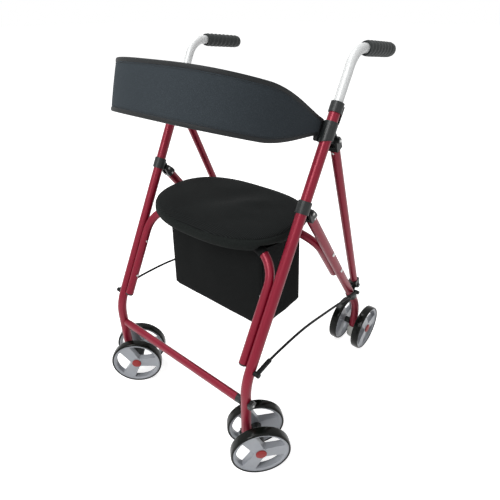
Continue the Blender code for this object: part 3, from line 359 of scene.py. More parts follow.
SIDES = {"left": 1, "right": -1}
LEGS = [(word, side, side * LEG_HALF_TRACK) for word, side in SIDES.items()]
X, Y, Z = (Vector(axis) for axis in ((1, 0, 0), (0, 1, 0), (0, 0, 1)))
UP_LEG = Vector((0, math.sin(FRONT_LEAN), math.cos(FRONT_LEAN)))
BEHIND_LEG = Vector((0, math.cos(FRONT_LEAN), -math.sin(FRONT_LEAN)))
DOWN_REAR = Vector((0, math.sin(REAR_LEAN), -math.cos(REAR_LEAN)))
BEHIND_REAR = Vector((0, math.cos(REAR_LEAN), math.sin(REAR_LEAN)))
BAND_UP = Vector((0, math.sin(BAND_TILT), math.cos(BAND_TILT)))
FRONT_CORNER = Vector((0, STEM_Y, FRONT_CORNER_Z))
REAR_PIVOT = FRONT_CORNER + UP_LEG * PIVOT_STATION + BEHIND_LEG * REAR_PIVOT_OFFSET
REAR_CORNER = REAR_PIVOT + DOWN_REAR * (REAR_AXLE_Y - REAR_PIVOT.y) / DOWN_REAR.y
REAR_AXLE = Vector((0, REAR_AXLE_Y, WHEEL_RADIUS))
CROSSBAR_END = LEG_HALF_TRACK - LEG_RADIUS - CLEARANCE
INNER_FACE = TWIN_SPACING / 2 - RIM_WIDTH / 2 - CLEARANCE
OUTER_FACE = TWIN_SPACING / 2 + RIM_WIDTH / 2 + CLEARANCE


def bore(radius, sides=TUBE_SIDES):
    """The corner radius of a faceted hole whose flats clear a tube of this radius."""
    return (radius + CLEARANCE) / math.cos(math.pi / sides)


def clamped(value):
    return min(1.0, max(0.0, value))


def signed_power(value, power):
    return math.copysign(abs(value) ** power, value)


def yz(point, x=0.0):
    return Vector((x, point[0], point[1]))


def as_yz(point):
    return (point.y, point.z)


def on_front_leg(station, behind=0.0, x=0.0):
    return FRONT_CORNER + UP_LEG * station + BEHIND_LEG * behind + X * x


def on_rear_leg(station, behind=0.0, x=0.0):
    return REAR_PIVOT + DOWN_REAR * station + BEHIND_REAR * behind + X * x


STRUT_PIVOT = on_front_leg(STRUT_PIVOT_STATION, STRUT_PIVOT_OFFSET)
STRUT_FOOT = on_rear_leg(STRUT_FOOT_STATION, STRUT_FOOT_OFFSET)
STRUT_LENGTH = (STRUT_FOOT - STRUT_PIVOT).length
DOWN_STRUT = (STRUT_FOOT - STRUT_PIVOT).normalized()
FRONT_MEMBER = on_front_leg(FRONT_TUBE_TOP)
REAR_MEMBER = on_rear_leg(REAR_TUBE_TOP)
BOARD_Z = FRONT_MEMBER.z + SEAT_TUBE_RADIUS + SEAT_TUBE_GAP


def skin(rings, caps=True, bm=None):
    """Adds a solid to bm or a new mesh, from the first ring of points to the last, or round again without caps."""
    bm = bmesh.new() if bm is None else bm
    made = [[bm.verts.new(point) for point in ring] for ring in rings]
    count = len(made[0])
    faces = []
    for low, high in zip(made, made[1:] + ([] if caps else made[:1])):
        for i in range(count):
            j = (i + 1) % count
            faces.append(bm.faces.new((low[i], low[j], high[j], high[i])))
    if caps:
        faces += [bm.faces.new(made[0][::-1]), bm.faces.new(made[-1])]
    bmesh.ops.recalc_face_normals(bm, faces=faces)
    return bm


def circle(centre, first, second, radius, sides=TUBE_SIDES):
    step = 2 * math.pi / sides
    return [centre + radius * (math.cos(i * step) * first + math.sin(i * step) * second) for i in range(sides)]


def turned(origin, axis, profile, sides=TUBE_SIDES, closed=False, first=X, bm=None):
    """Turns (radius, height) points about an axis: a closed profile makes a ring, an open one has flat ends."""
    axis = axis.normalized()
    if abs(axis.dot(first)) > 0.9:
        first = Y
    first = (first - axis * first.dot(axis)).normalized()
    second = axis.cross(first)
    rings = [circle(origin + axis * height, first, second, radius, sides) for radius, height in profile]
    return skin(rings, not closed, bm)


def rod(centre, radius, reach):
    """A cylinder along X that reaches as far on both sides of its centre."""
    return turned(centre, X, ((radius, -reach), (radius, reach)))


def stud(place, axis, radius, shape, bm=None):
    """A small head that stands on a face, shaped by (height of its side, height of its top, top's share of radius)."""
    side, top, share = shape
    return turned(place, axis, ((radius, -BOLT_SINK), (radius, side), (radius * share, top)), BOLT_SIDES, bm=bm)


def path_rings(path, radius, across, sides=TUBE_SIDES):
    """Rings of a tube along a flat path. across is the unit normal of the path's plane."""
    rings = []
    for i, point in enumerate(path):
        ahead = (path[min(i + 1, len(path) - 1)] - path[max(i - 1, 0)]).normalized()
        rings.append(circle(point, across, ahead.cross(across), radius, sides))
    return rings


def cord(path, radius, up, bm=None):
    """A round piping or thread along a path of near points."""
    return skin(path_rings(path, radius, up, CORD_SIDES), bm=bm)


def end_cap(rings):
    """Rings that carry a seat tube on from its last ring to a domed end."""
    centre, before = (sum(ring, Vector()) / len(ring) for ring in (rings[-1], rings[-2]))
    ahead = (centre - before).normalized() * TUBE_CAP_LENGTH
    radius = (rings[-1][0] - centre).length
    return [
        [centre + ahead * share + (point - centre) * (radius - inset) / radius for point in rings[-1]]
        for share, inset in ((0.5, 0.0), (1.0, TUBE_CAP_LENGTH / 2))
    ]


def rounded(start, corner, end, radius):
    """The arc that turns the corner of a path from start to end at this radius."""
    back, ahead = (start - corner).normalized(), (end - corner).normalized()
    half = back.angle(ahead) / 2
    centre = corner + (back + ahead).normalized() * radius / math.sin(half)
    first = (corner + back * radius / math.tan(half) - centre) / radius
    second = (-back - first * (-back).dot(first)).normalized()
    angles = [(math.pi - 2 * half) * i / BEND_STEPS for i in range(BEND_STEPS + 1)]
    return [centre + radius * (math.cos(a) * first + math.sin(a) * second) for a in angles]


def slab(outline, low, high):
    """A flat piece across X: outline is a loop of (y, z) points, low and high its two X faces."""
    return skin([[yz(point, x) for point in outline] for x in (low, high)])


def arc(centre, along, radius, start, end, steps):
    """(y, z) points of an arc round centre. Angles run from along toward the vector a quarter turn on."""
    side = Vector((0, -along.z, along.y))
    angles = [start + (end - start) * i / steps for i in range(steps + 1)]
    return [as_yz(centre + radius * (math.cos(a) * along + math.sin(a) * side)) for a in angles]


pieces = {}
root, slider, rear_frame, struts, seat = "front_frame", "sleeves", "rear_frame", "struts", "seat"


def new_object(name, bm):
    mesh = bpy.data.meshes.new(name)
    bm.to_mesh(mesh)
    bm.free()
    made = bpy.data.objects.new(name, mesh)
    bpy.context.scene.collection.objects.link(made)
    return made


def node(name, body, kind, bm):
    """One piece in the walker's own frame. dress() moves it into the shared frame and gives it its body."""
    made = new_object(f"look_{name}", bm)
    pieces[name] = (made, body, kind)
    return made


def evaluated_mesh(made):
    return bpy.data.meshes.new_from_object(made.evaluated_get(bpy.context.evaluated_depsgraph_get()))


def combine(target, bm, operation="UNION"):
    """Joins the shape in bm to the target, or cuts it away, and keeps the result as the target's mesh."""
    helper = new_object("helper", bm)
    modifier = target.modifiers.new(operation.title(), "BOOLEAN")
    modifier.operation = operation
    modifier.solver = "EXACT"
    modifier.object = helper
    result = evaluated_mesh(target)
    target.modifiers.clear()
    target.data = result
    bpy.data.objects.remove(helper)
    return target


def front_leg(name, x):
    """A leg with its bend, bored from below for the caster's stem and from above for the handle tube."""
    foot, top = yz((STEM_Y, FRONT_LEG_FOOT_Z), x), on_front_leg(FRONT_LEG_TOP, x=x)
    path = [foot, *rounded(foot, FRONT_CORNER + X * x, top, LEG_BEND_RADIUS), top]
    outer = path_rings(path, LEG_RADIUS, X)
    level, leaning = Z.cross(X), UP_LEG.cross(X)
    outer[0], outer[-1] = circle(foot, X, level, LEG_RADIUS), circle(top, X, leaning, LEG_RADIUS)
    stem = [circle(foot + Z * up, X, level, bore(STEM_RADIUS)) for up in (STEM_LENGTH + 2 * CLEARANCE, 0)]
    depth = HANDLE_INSERT + HANDLE_DROP + 2 * CLEARANCE
    tube = [circle(top - UP_LEG * down, X, leaning, bore(HANDLE_RADIUS)) for down in (0, depth)]
    return node(name, root, "red", skin([*stem, *outer, *tube]))


def clamp(name, parent, x, place, low, high, pivot, eye=EYE_RADIUS, bored=True):
    """A ring round a leg with a lug that reaches the pivot. place gives a point from (station, behind, x)."""
    axis = place(1) - place(0)
    inner = bore(LEG_RADIUS)
    ring = ((inner, low), (RING_RADIUS, low), (RING_RADIUS, high), (inner, high))
    made = node(name, parent, "black", turned(place(0, 0, x), axis, ring, closed=True))
    station = (pivot - place(0)).dot(axis)
    behind = place(0, 1) - place(0)
    ends = (max(low, station - 2 * eye) + CLEARANCE, min(high, station + 2 * eye) - CLEARANCE)
    start, end = (as_yz(place(at, inner + CLEARANCE)) for at in ends)
    quarter = math.copysign(math.pi / 2, behind.y * axis.z - behind.z * axis.y)
    lug = [start, *arc(pivot, behind, eye, -quarter, quarter, EYE_STEPS), end]
    combine(made, slab(lug, x - LUG_HALF_WIDTH, x + LUG_HALF_WIDTH))
    if bored:
        combine(made, rod(pivot + X * x, bore(PIN_RADIUS), RING_RADIUS), "DIFFERENCE")
    return made


def fork(name, parent, x, kind, pivot, direction, length, slot, half_height, pinned=True):
    """Two cheeks round a lug, a body that meets the tube, and the pivot bolt or only its heads."""
    across = Vector((0, -direction.z, direction.y))

    def plate(start, corners, half):
        return slab([*start, *(as_yz(pivot + direction * d + across * h) for d, h in corners)], x - half, x + half)

    body = ((slot, -half_height), (length, -half_height), (length, half_height), (slot, half_height))
    round_end = arc(pivot, -direction, EYE_RADIUS, -math.pi / 2, math.pi / 2, EYE_STEPS)
    made = node(name, parent, kind, plate(round_end, body, FORK_HALF_WIDTH))
    wide = 2 * half_height
    gap = ((-wide, wide), (slot, wide), (slot, -wide), (-wide, -wide))
    combine(made, plate((), gap, LUG_HALF_WIDTH + CLEARANCE), "DIFFERENCE")
    seated = FORK_HALF_WIDTH - CLEARANCE
    right = [(PIN_HEAD_RADIUS, -FORK_HALF_WIDTH - PIN_HEAD_HEIGHT), (PIN_HEAD_RADIUS, -seated)]
    left = [(radius, -at) for radius, at in right[::-1]]
    whole = [*right, (PIN_RADIUS, -seated), (PIN_RADIUS, seated), *left]
    for profile in [whole] if pinned else [right[::-1], left]:
        combine(made, turned(pivot + X * x, X, profile, PIN_SIDES))
    return made


def rear_leg(name, x):
    start, foot = on_rear_leg(KNUCKLE_LENGTH + CLEARANCE, x=x), yz((REAR_AXLE_Y, REAR_LEG_FOOT_Z), x)
    path = [start, *rounded(start, REAR_CORNER + X * x, foot, LEG_BEND_RADIUS), foot]
    made = node(name, rear_frame, "red", skin(path_rings(path, LEG_RADIUS, X)))
    return combine(made, rod(REAR_AXLE + X * x, bore(AXLE_RADIUS), 2 * LEG_RADIUS), "DIFFERENCE")


def seat_tube(name, parent, place, top, end, bend, away):
    """A U of tube with capped legs inside the walker's legs. place gives a point from (station, behind, x)."""
    half = SEAT_TUBE_HALF_TRACK
    left_end, right_end = (place(end - away * TUBE_CAP_LENGTH, 0, x) for x in (half, -half))
    left, middle, right = (place(top, 0, x) for x in (half, 0, -half))
    path = [left_end, *rounded(left_end, left, middle, bend), *rounded(middle, right, right_end, bend), right_end]
    rings = path_rings(path, SEAT_TUBE_RADIUS, (place(0, 1) - place(0)).normalized())
    node(name, parent, "red", skin([*end_cap(rings[::-1])[::-1], *rings, *end_cap(rings)]))


def through_bolt(name, body, place, axis, reach):
    """The small heads at both ends of a bolt along axis, reach from its middle."""
    bm = bmesh.new()
    for way in (-axis, axis):
        stud(place + way * reach, way, NUT_RADIUS, PIN_END, bm)
    node(name, body, "steel", bm)


def slant(bracket, side):
    """Draws the bracket's lower edge down on the side where it holds the band."""
    toward = Vector((side * BRACKET_SLANT_WAY[0], BRACKET_SLANT_WAY[1], 0))
    foot = on_front_leg(0, 0, side * LEG_HALF_TRACK)
    for vert in bracket.data.vertices:
        station = (vert.co - foot).dot(UP_LEG)
        if station < BRACKET_LOW + BRACKET_TRIM + HAIR:
            off_axis = vert.co - foot - UP_LEG * station
            vert.co -= UP_LEG * BRACKET_SLANT * off_axis.dot(toward) / RING_RADIUS


def build_front_frame():
    for word, side, x in LEGS:
        leg = front_leg(f"front_leg_{word}", x)
        low = BRACKET_LOW + BRACKET_TRIM
        slant(clamp(f"top_bracket_{word}", root, x, on_front_leg, low, BRACKET_HIGH, STRUT_PIVOT), side)
        handle_collar(f"handle_collar_{word}", side, x)
    crossbar_bolt = ((BOLT_RADIUS, -BOLT_SINK), (BOLT_RADIUS, BOLT_HEIGHT))
    combine(leg, turned(Vector((-LEG_HALF_TRACK - LEG_RADIUS, STEM_Y, KNOB_Z)), -X, crossbar_bolt, PIN_SIDES))
    seat_tube("front_seat_tube", root, on_front_leg, FRONT_TUBE_TOP, FRONT_TUBE_END, FRONT_TUBE_BEND, -1)
    for word, side in SIDES.items():
        face = side * (SEAT_TUBE_HALF_TRACK - SEAT_TUBE_RADIUS)
        for i, station in enumerate(FRONT_TUBE_BOLTS):
            nut = stud(on_front_leg(station, 0, face), -X * side, NUT_RADIUS, TUBE_NUT)
            node(f"front_tube_nut_{word}_{i}", root, "steel", nut)
    crossbar()
    knob()


def crossbar():
    """The oval bar between the front legs, with a plug in each end that meets the leg."""
    start = CROSSBAR_END - CROSSBAR_PLUG
    steps = [(-CROSSBAR_END, CROSSBAR_PLUG_STEP), (-start, CROSSBAR_PLUG_STEP), (-start, 0.0)]
    rings = []
    for x, shrink in steps + [(-x, shrink) for x, shrink in steps[::-1]]:
        depth, height = CROSSBAR_HALF_DEPTH - shrink, CROSSBAR_HALF_HEIGHT - shrink
        rings.append(circle(Vector((x, STEM_Y, CROSSBAR_Z)), Y * depth, Z * height, 1))
    node("lower_crossbar", root, "red", skin(rings))


def knob():
    """The lobed hand nut of the crossbar, on the left leg, with the end of its bolt."""
    face = LEG_HALF_TRACK + LEG_RADIUS + CLEARANCE
    steps = KNOB_LOBES * KNOB_STEPS
    points = []
    for i in range(steps):
        angle = 2 * math.pi * i / steps
        radius = KNOB_RADIUS - KNOB_LOBE_DEPTH * (1 - math.cos(KNOB_LOBES * angle)) / 2
        points.append((STEM_Y + radius * math.cos(angle), KNOB_Z + radius * math.sin(angle)))
    node("crossbar_knob", root, "black", slab(points, face, face + KNOB_HEIGHT))
    end = Vector((face + KNOB_HEIGHT, STEM_Y, KNOB_Z))
    node("knob_bolt", root, "steel", stud(end, X, KNOB_BOLT_RADIUS, KNOB_BOLT))


def handle_collar(name, side, x):
    """The collar on a front leg's top, with the tongue of its clip."""
    inner, tight = bore(LEG_RADIUS), bore(HANDLE_RADIUS)
    low, shoulder = COLLAR_LOW, FRONT_LEG_TOP + CLEARANCE
    top = shoulder + COLLAR_LIP
    profile = (
        (inner, low), (COLLAR_RADIUS, low), (COLLAR_RADIUS, top), (tight, top), (tight, shoulder), (inner, shoulder),
    )
    made = node(name, root, "black", turned(on_front_leg(0, 0, x), UP_LEG, profile, closed=True))
    near, far, end = inner + CLEARANCE, COLLAR_TONGUE_DEPTH, low - COLLAR_TONGUE_DROP
    tongue = ((end, near), (end, far - COLLAR_TONGUE_TAPER), (low, far), (shoulder, far), (shoulder, near))
    middle = x + side * COLLAR_TONGUE_SHIFT
    outline = [as_yz(on_front_leg(*corner)) for corner in tongue]
    combine(made, slab(outline, middle - COLLAR_TONGUE_HALF_WIDTH, middle + COLLAR_TONGUE_HALF_WIDTH))


def grip(start, along):
    """A grip whose ribs twist round it, with a rounded blind end."""
    across = along.cross(X)
    rings = [circle(start + along * at, X, across, bore(HANDLE_RADIUS)) for at in (GRIP_LENGTH - GRIP_END_WALL, 0)]
    for i in range(GRIP_STEPS + 1):
        share = i / GRIP_STEPS
        depth = GRIP_RIB_DEPTH * min(1.0, GRIP_FADE * share, GRIP_FADE * (1 - share))
        centre = start + along * share * (GRIP_LENGTH - GRIP_DOME)
        ring = []
        for k in range(TUBE_SIDES):
            angle = 2 * math.pi * k / TUBE_SIDES
            wave = 0.5 + 0.5 * math.cos(2 * math.pi * GRIP_RIBS * share + GRIP_TWIST * angle)
            radius = GRIP_RADIUS - GRIP_RIB_DEPTH + depth * wave ** GRIP_WAVE_POWER
            ring.append(centre + (X * math.cos(angle) + across * math.sin(angle)) * radius)
        rings.append(ring)
    for i in range(1, GRIP_DOME_STEPS):
        turn = i / GRIP_DOME_STEPS * math.pi / 2
        place = start + along * (GRIP_LENGTH - GRIP_DOME * (1 - math.sin(turn)))
        radius = (GRIP_RADIUS - GRIP_RIB_DEPTH) * (GRIP_END_RADIUS + (1 - GRIP_END_RADIUS) * math.cos(turn))
        rings.append(circle(place, X, across, radius))
    return skin(rings)


def handle(word, x):
    """A silver tube that slides in the leg, and its ribbed grip."""
    start, corner = on_front_leg(FRONT_LEG_TOP - HANDLE_INSERT, x=x), on_front_leg(HANDLE_CORNER, x=x)
    back = Vector((0, math.cos(GRIP_SLOPE), -math.sin(GRIP_SLOPE)))
    grip_at = corner + back * GRIP_START
    end = grip_at + back * (GRIP_LENGTH - GRIP_END_WALL - CLEARANCE)
    path = [start, *rounded(start, corner, end, HANDLE_BEND_RADIUS), end]
    node(f"handle_tube_{word}", f"handle_{word}", "silver", skin(path_rings(path, HANDLE_RADIUS, X)))
    node(f"grip_{word}", f"handle_{word}", "rubber", grip(grip_at, back))


def build_rear_frame():
    for word, side, x in LEGS:
        leg = rear_leg(f"rear_leg_{word}", x)
        for station in REAR_TUBE_BOLTS:
            combine(leg, stud(on_rear_leg(station, 0, x + side * LEG_RADIUS), X * side, BOLT_RADIUS, LEG_BOLT))
        ring = (CLAMP_LOW, CLAMP_HIGH, STRUT_FOOT, FOOT_EYE_RADIUS)
        clamp(f"strut_clamp_{word}", rear_frame, x, on_rear_leg, *ring, bored=False)
        knuckle = (REAR_PIVOT, DOWN_REAR, KNUCKLE_LENGTH, KNUCKLE_SLOT, LEG_RADIUS - FORK_STEP)
        fork(f"knuckle_{word}", rear_frame, x, "black", *knuckle)
        bolt = REAR_PIVOT + DOWN_REAR * KNUCKLE_BOLT + X * x
        through_bolt(f"knuckle_bolt_{word}", rear_frame, bolt, X, FORK_HALF_WIDTH)
        through_bolt(f"knuckle_pin_{word}", rear_frame, REAR_PIVOT + X * x, X, FORK_HALF_WIDTH + PIN_HEAD_HEIGHT)
        brake_foot(f"brake_foot_{word}", x)
        node(f"rear_axle_{word}", rear_frame, "cap", axle(REAR_AXLE + X * x, LEG_RADIUS + CLEARANCE))
        seat_rest(f"seat_rest_{word}", side * REST_X)
    seat_tube("rear_seat_tube", rear_frame, on_rear_leg, REAR_TUBE_TOP, REAR_TUBE_END, REAR_TUBE_BEND, 1)


def brake_foot(name, x):
    """The rubber end of a rear leg: a plug under the tube with a rim round it."""
    inner, radius, cup = bore(LEG_RADIUS), BRAKE_FOOT_RADIUS, REAR_LEG_FOOT_Z + BRAKE_FOOT_CUP
    inset, rise = BRAKE_FOOT_EDGE
    profile = (
        (radius - inset, BRAKE_FOOT_LOW), (radius, BRAKE_FOOT_LOW + rise), (radius, cup), (inner, cup),
        (inner, REAR_LEG_FOOT_Z - CLEARANCE),
    )
    node(name, rear_frame, "grey", turned(yz((REAR_AXLE_Y, 0), x), Z, profile))


def axle(centre, spacer_start=None):
    """An axle with red hub caps on the outer wheels' faces, and spacers from spacer_start to the inner ones."""
    cap_end = OUTER_FACE + HUB_CAP_HEIGHT
    half = [
        (AXLE_RADIUS, OUTER_FACE), (HUB_CAP_RADIUS, OUTER_FACE), (HUB_CAP_RADIUS, cap_end - HUB_CAP_DOME),
        (HUB_CAP_RADIUS - 3 * HUB_CAP_DOME, cap_end),
    ]
    if spacer_start:
        wide = AXLE_SPACER_RADIUS
        half = [(AXLE_RADIUS, spacer_start), (wide, spacer_start), (wide, INNER_FACE), (AXLE_RADIUS, INNER_FACE), *half]
    return turned(centre, X, [(radius, -at) for radius, at in half[::-1]] + half, first=Z)


def seat_rest(name, middle):
    """A block on the rear cross member that carries the seat board."""
    y, low, high = REAR_MEMBER.y, REAR_MEMBER.z, BOARD_Z - CLEARANCE
    near, far = y - REST_HALF_DEPTH, y + REST_HALF_DEPTH
    corners = (near, low), (far, low), (far, high), (near, high)
    block = slab(corners, middle - REST_HALF_WIDTH, middle + REST_HALF_WIDTH)
    made = node(name, rear_frame, "black", block)
    combine(made, rod(REAR_MEMBER + X * middle, bore(SEAT_TUBE_RADIUS), 2 * REST_HALF_WIDTH), "DIFFERENCE")


def build_struts():
    foot_body = STRUT_FOOT_SLOT + STRUT_FOOT_BODY
    top = (STRUT_PIVOT, DOWN_STRUT, STRUT_FORK_LENGTH, KNUCKLE_SLOT, STRUT_RADIUS - FORK_STEP)
    foot = (STRUT_FOOT, -DOWN_STRUT, foot_body, STRUT_FOOT_SLOT, STRUT_RADIUS + FORK_STEP)
    tube = (STRUT_FORK_LENGTH + CLEARANCE, STRUT_LENGTH - foot_body + STRUT_FOOT_BODY / 2)
    across = Vector((0, -DOWN_STRUT.z, DOWN_STRUT.y))
    for word, _, x in LEGS:
        fork(f"strut_top_{word}", struts, x, "black", *top)
        made = fork(f"strut_{word}", struts, x, "red", *foot, pinned=False)
        pivot = STRUT_PIVOT + X * x
        bolt = pivot + DOWN_STRUT * (STRUT_FORK_LENGTH + STRUT_BOLT)
        through_bolt(f"strut_bolt_{word}", struts, bolt, across, STRUT_RADIUS)
        through_bolt(f"strut_pin_{word}", struts, pivot, X, FORK_HALF_WIDTH + PIN_HEAD_HEIGHT)
        combine(made, turned(pivot, DOWN_STRUT, [(STRUT_RADIUS, along) for along in tube]))


def seat_loop(half_width, half_depth, up, corner=SEAT_CORNER_EXPONENT):
    """One loop round the seat, up from its board's underside. corner is the exponent of the left rear quarter."""
    points = []
    for i in range(SEAT_SIDES):
        angle = 2 * math.pi * i / SEAT_SIDES
        c, s = math.cos(angle), math.sin(angle)
        power = 2 / (corner if c > 0 and s > 0 else SEAT_EXPONENT)
        y = SEAT_MIDDLE_Y + half_depth * signed_power(s, power)
        points.append(Vector((half_width * signed_power(c, power), y, BOARD_Z + up)))
    return points


def dent(a, b, depth, a_middle, a_spread, b_middle, b_spread):
    return depth * math.exp(-(a - a_middle) ** 2 / a_spread - (b - b_middle) ** 2 / b_spread)


def seat_dip(point):
    """How far the used cushion has sunk at a point: a hollow, a valley beside a ridge, and small folds."""
    x, y = point.x, point.y - SEAT_MIDDLE_Y
    c, s = SEAT_VALLEY_TURN
    slanted = (c * x + s * y, s * x - c * y)
    c, s = SEAT_FOLD_TURN
    along, across = c * x + s * y, c * y - s * x
    folds = math.sin(across * SEAT_FOLD_RATE) * dent(along, across, *SEAT_FOLDS)
    return dent(x, y, *SEAT_HOLLOW) + dent(*slanted, *SEAT_VALLEY) + dent(*slanted, *SEAT_RIDGE) + folds


def seat_droop(point, height):
    """How far the cushion hangs below a level one: its top slopes to the front, and its skirt hangs past the board."""
    ahead = (point.y - SEAT_MIDDLE_Y) / SEAT_HALF_DEPTH
    top = SEAT_SLOPE * (1 - ahead)
    past_tube = FRONT_MEMBER.y - point.y
    hang = clamped((abs(past_tube) - SEAT_SKIRT_START) / SEAT_SKIRT_FADE)
    longest = SEAT_SKIRT if past_tube > 0 else SEAT_REAR_SKIRT * clamped(0.5 - ahead)
    bottom = longest * hang * hang * (3 - 2 * hang)
    return bottom + (top - bottom) * clamped(height / SEAT_HEIGHT)


def build_seat():
    """Cushion with a pocket for the board, a rim seam and a low crown that use has pressed in a little."""
    a, b = SEAT_HALF_WIDTH, SEAT_HALF_DEPTH
    pocket = BOARD_MARGIN - CLEARANCE
    rings = [seat_loop(a - pocket, b - pocket, up) for up in (BOARD_THICKNESS + CLEARANCE, 0)]
    for inset, up in SEAT_RIM:
        rings.append([point - Z * seat_droop(point, up) for point in seat_loop(a - inset, b - inset, up)])
    for step in range(1, SEAT_TOP_RINGS):
        share = SEAT_TOP_SHARE * (1 - step / SEAT_TOP_RINGS)
        crown = (SEAT_CROWN - SEAT_TOP_HEIGHT) * (1 - share ** SEAT_TOP_POWER)
        held = SEAT_CENTRE_SLOPE + (1 - SEAT_CENTRE_SLOPE) * (share / SEAT_EDGE_SHARE) ** 2
        rings.append([
            point - Z * (seat_dip(point) * (1 - share ** 4) + seat_droop(point, SEAT_HEIGHT) * held)
            for point in seat_loop(a * share, b * share, SEAT_HEIGHT + SEAT_TOP_HEIGHT + crown)
        ])
    node("seat_cushion", seat, "fabric", skin(rings))
    seat_board(a - BOARD_MARGIN - CLEARANCE, b - BOARD_MARGIN - CLEARANCE)


def seat_board(a, b):
    """The board in the cushion's pocket, with two clips that hinge on the front cross member."""
    board = node("seat_board", seat, "board", skin([seat_loop(a, b, up, SEAT_EXPONENT) for up in (0, BOARD_THICKNESS)]))
    top = BOARD_Z + BOARD_THICKNESS / 2
    bottom = arc(FRONT_MEMBER, Y, CLIP_RADIUS, -math.pi, 0, CLIP_STEPS)
    outline = [*bottom, (FRONT_MEMBER.y + CLIP_RADIUS, top), (FRONT_MEMBER.y - CLIP_RADIUS, top)]
    for x in (CLIP_X, -CLIP_X):
        combine(board, slab(outline, x - CLIP_HALF_WIDTH, x + CLIP_HALF_WIDTH))
    combine(board, rod(FRONT_MEMBER, bore(SEAT_TUBE_RADIUS), CLIP_X + 2 * CLIP_HALF_WIDTH), "DIFFERENCE")


def bag_puff(side, along, share):
    """How far a panel of the bag stands out: sides are numbered from the left one, against the clock."""
    belly = (1 - along ** 2) * math.sin(math.pi * min(1.0, share * BAG_BELLY_RISE))
    if side in (0, 2):
        wave = math.sin(BAG_SIDE_WAVES[0] * along + BAG_SIDE_WAVES[1] * share) * (1 - along ** 2)
        return BAG_SIDE_WAVE * wave - BAG_SIDE_SINK * belly
    folds = sum(h * math.sin(a * along + b * share + shift * side) for h, a, b, shift in BAG_PANEL_FOLDS)
    held = BAG_FOLD_AT_FLOOR + (1 - BAG_FOLD_AT_FLOOR) * share
    return BAG_PANEL_PUFF * belly + BAG_PANEL_FOLD * folds * (1 - along ** 4) * held


def bag_half_width(share):
    return BAG_HALF_WIDTH + (BAG_TOP_HALF_WIDTH - BAG_HALF_WIDTH) * share


def bag_height(share, y, lift=0.0):
    """The height of the bag's loop at share, which levels out from the slanting mouth to the floor."""
    mouth = BAG_FRONT_TOP_Z + (BAG_REAR_TOP_Z - BAG_FRONT_TOP_Z) * (y - BAG_FRONT_Y) / (BAG_REAR_Y - BAG_FRONT_Y)
    return (BAG_FLOOR_Z + lift) * (1 - share) + mouth * share


def bag_ring(share, inset=0.0, lift=0.0):
    """One loop of the bag: share runs 0 at the floor to 1 at the mouth, inset draws it in, lift raises its floor."""
    middle = (BAG_FRONT_Y + BAG_REAR_Y) / 2
    width, depth = bag_half_width(share) - BAG_CORNER, (BAG_REAR_Y - BAG_FRONT_Y) / 2 - BAG_CORNER
    ring = []
    for side in range(4):
        turn = Matrix.Rotation(side * math.pi / 2, 3, "Z")
        reach, run = (width, depth) if side % 2 == 0 else (depth, width)
        for along in (2 * i / BAG_PANEL_STEPS - 1 for i in range(BAG_PANEL_STEPS + 1)):
            ring.append(turn @ Vector((reach + BAG_CORNER - inset + bag_puff(side, along, share), run * along, 0)))
        for angle in (i / BAG_CORNER_STEPS * math.pi / 2 for i in range(1, BAG_CORNER_STEPS)):
            round_ = (BAG_CORNER - inset) * Vector((math.cos(angle), math.sin(angle), 0))
            ring.append(turn @ (Vector((reach, run, 0)) + round_))
    for point in ring:
        point.y += middle
        point.z = bag_height(share, point.y, lift)
    return ring


def strap_outline(centre, tail, first, last):
    """A strap round a seat tube and its tail of outer and inner points. Angles run from straight down, toward +Y."""
    inner = bore(SEAT_TUBE_RADIUS)
    end = first - STRAP_SLIT + 2 * math.pi
    outside = arc(centre, -Z, inner + STRAP_THICKNESS, first, end, STRAP_STEPS)
    inside = arc(centre, -Z, inner, last, end, STRAP_STEPS)
    return [*tail[0], *outside, *inside[::-1], *tail[1]]


def build_bag():
    """The bag's thin walls, its hems round the front tube, its trim, and its strap round the rear tube."""
    shares = [BAG_FIRST_RING + (1 - BAG_FIRST_RING) * i / BAG_RINGS for i in range(BAG_RINGS + 1)]
    rings = [bag_ring(share, inset) for share, inset in BAG_FLOOR_EDGE]
    rings += [bag_ring(share) for share in shares]
    rings += [bag_ring(share, BAG_WALL, BAG_WALL) for share in shares[::-1]]
    rings.append(bag_ring(0, BAG_FLOOR_EDGE[0][1] + BAG_WALL, BAG_WALL))
    node("storage_bag", root, "bag", skin(rings))
    front, bottom = BAG_FRONT_Y, BAG_FRONT_TOP_Z - BAG_HEM_DROP
    offset, radius = front - FRONT_MEMBER.y, bore(SEAT_TUBE_RADIUS)
    first = math.asin((offset + STRAP_THICKNESS) / (radius + STRAP_THICKNESS))
    tail = ([(front + STRAP_THICKNESS, bottom)], [(front, bottom)])
    hem = strap_outline(FRONT_MEMBER, tail, first, math.asin(offset / radius))
    for i, (low, high) in enumerate(BAG_HEMS):
        node(f"bag_loop_{i + 1}", root, "bag", slab(hem, low, high))
    bag_trim()
    mouth, low = BAG_REAR_TOP_Z, BAG_REAR_TOP_Z - BAG_STRAP_TAIL
    rear = BAG_REAR_Y + CLEARANCE + BAG_BULGE * 2 * BAG_STRAP_TAIL / (mouth - BAG_FLOOR_Z)
    back = rear + STRAP_THICKNESS
    tail = (
        [(rear, low), (back, low), (back, mouth + 3 * STRAP_THICKNESS)], [(rear, mouth + 2 * STRAP_THICKNESS)],
    )
    strap = strap_outline(REAR_MEMBER, tail, *BAG_STRAP_LEAVES)
    node("bag_rear_strap", rear_frame, "bag", slab(strap, -BAG_STRAP_HALF_WIDTH, BAG_STRAP_HALF_WIDTH))


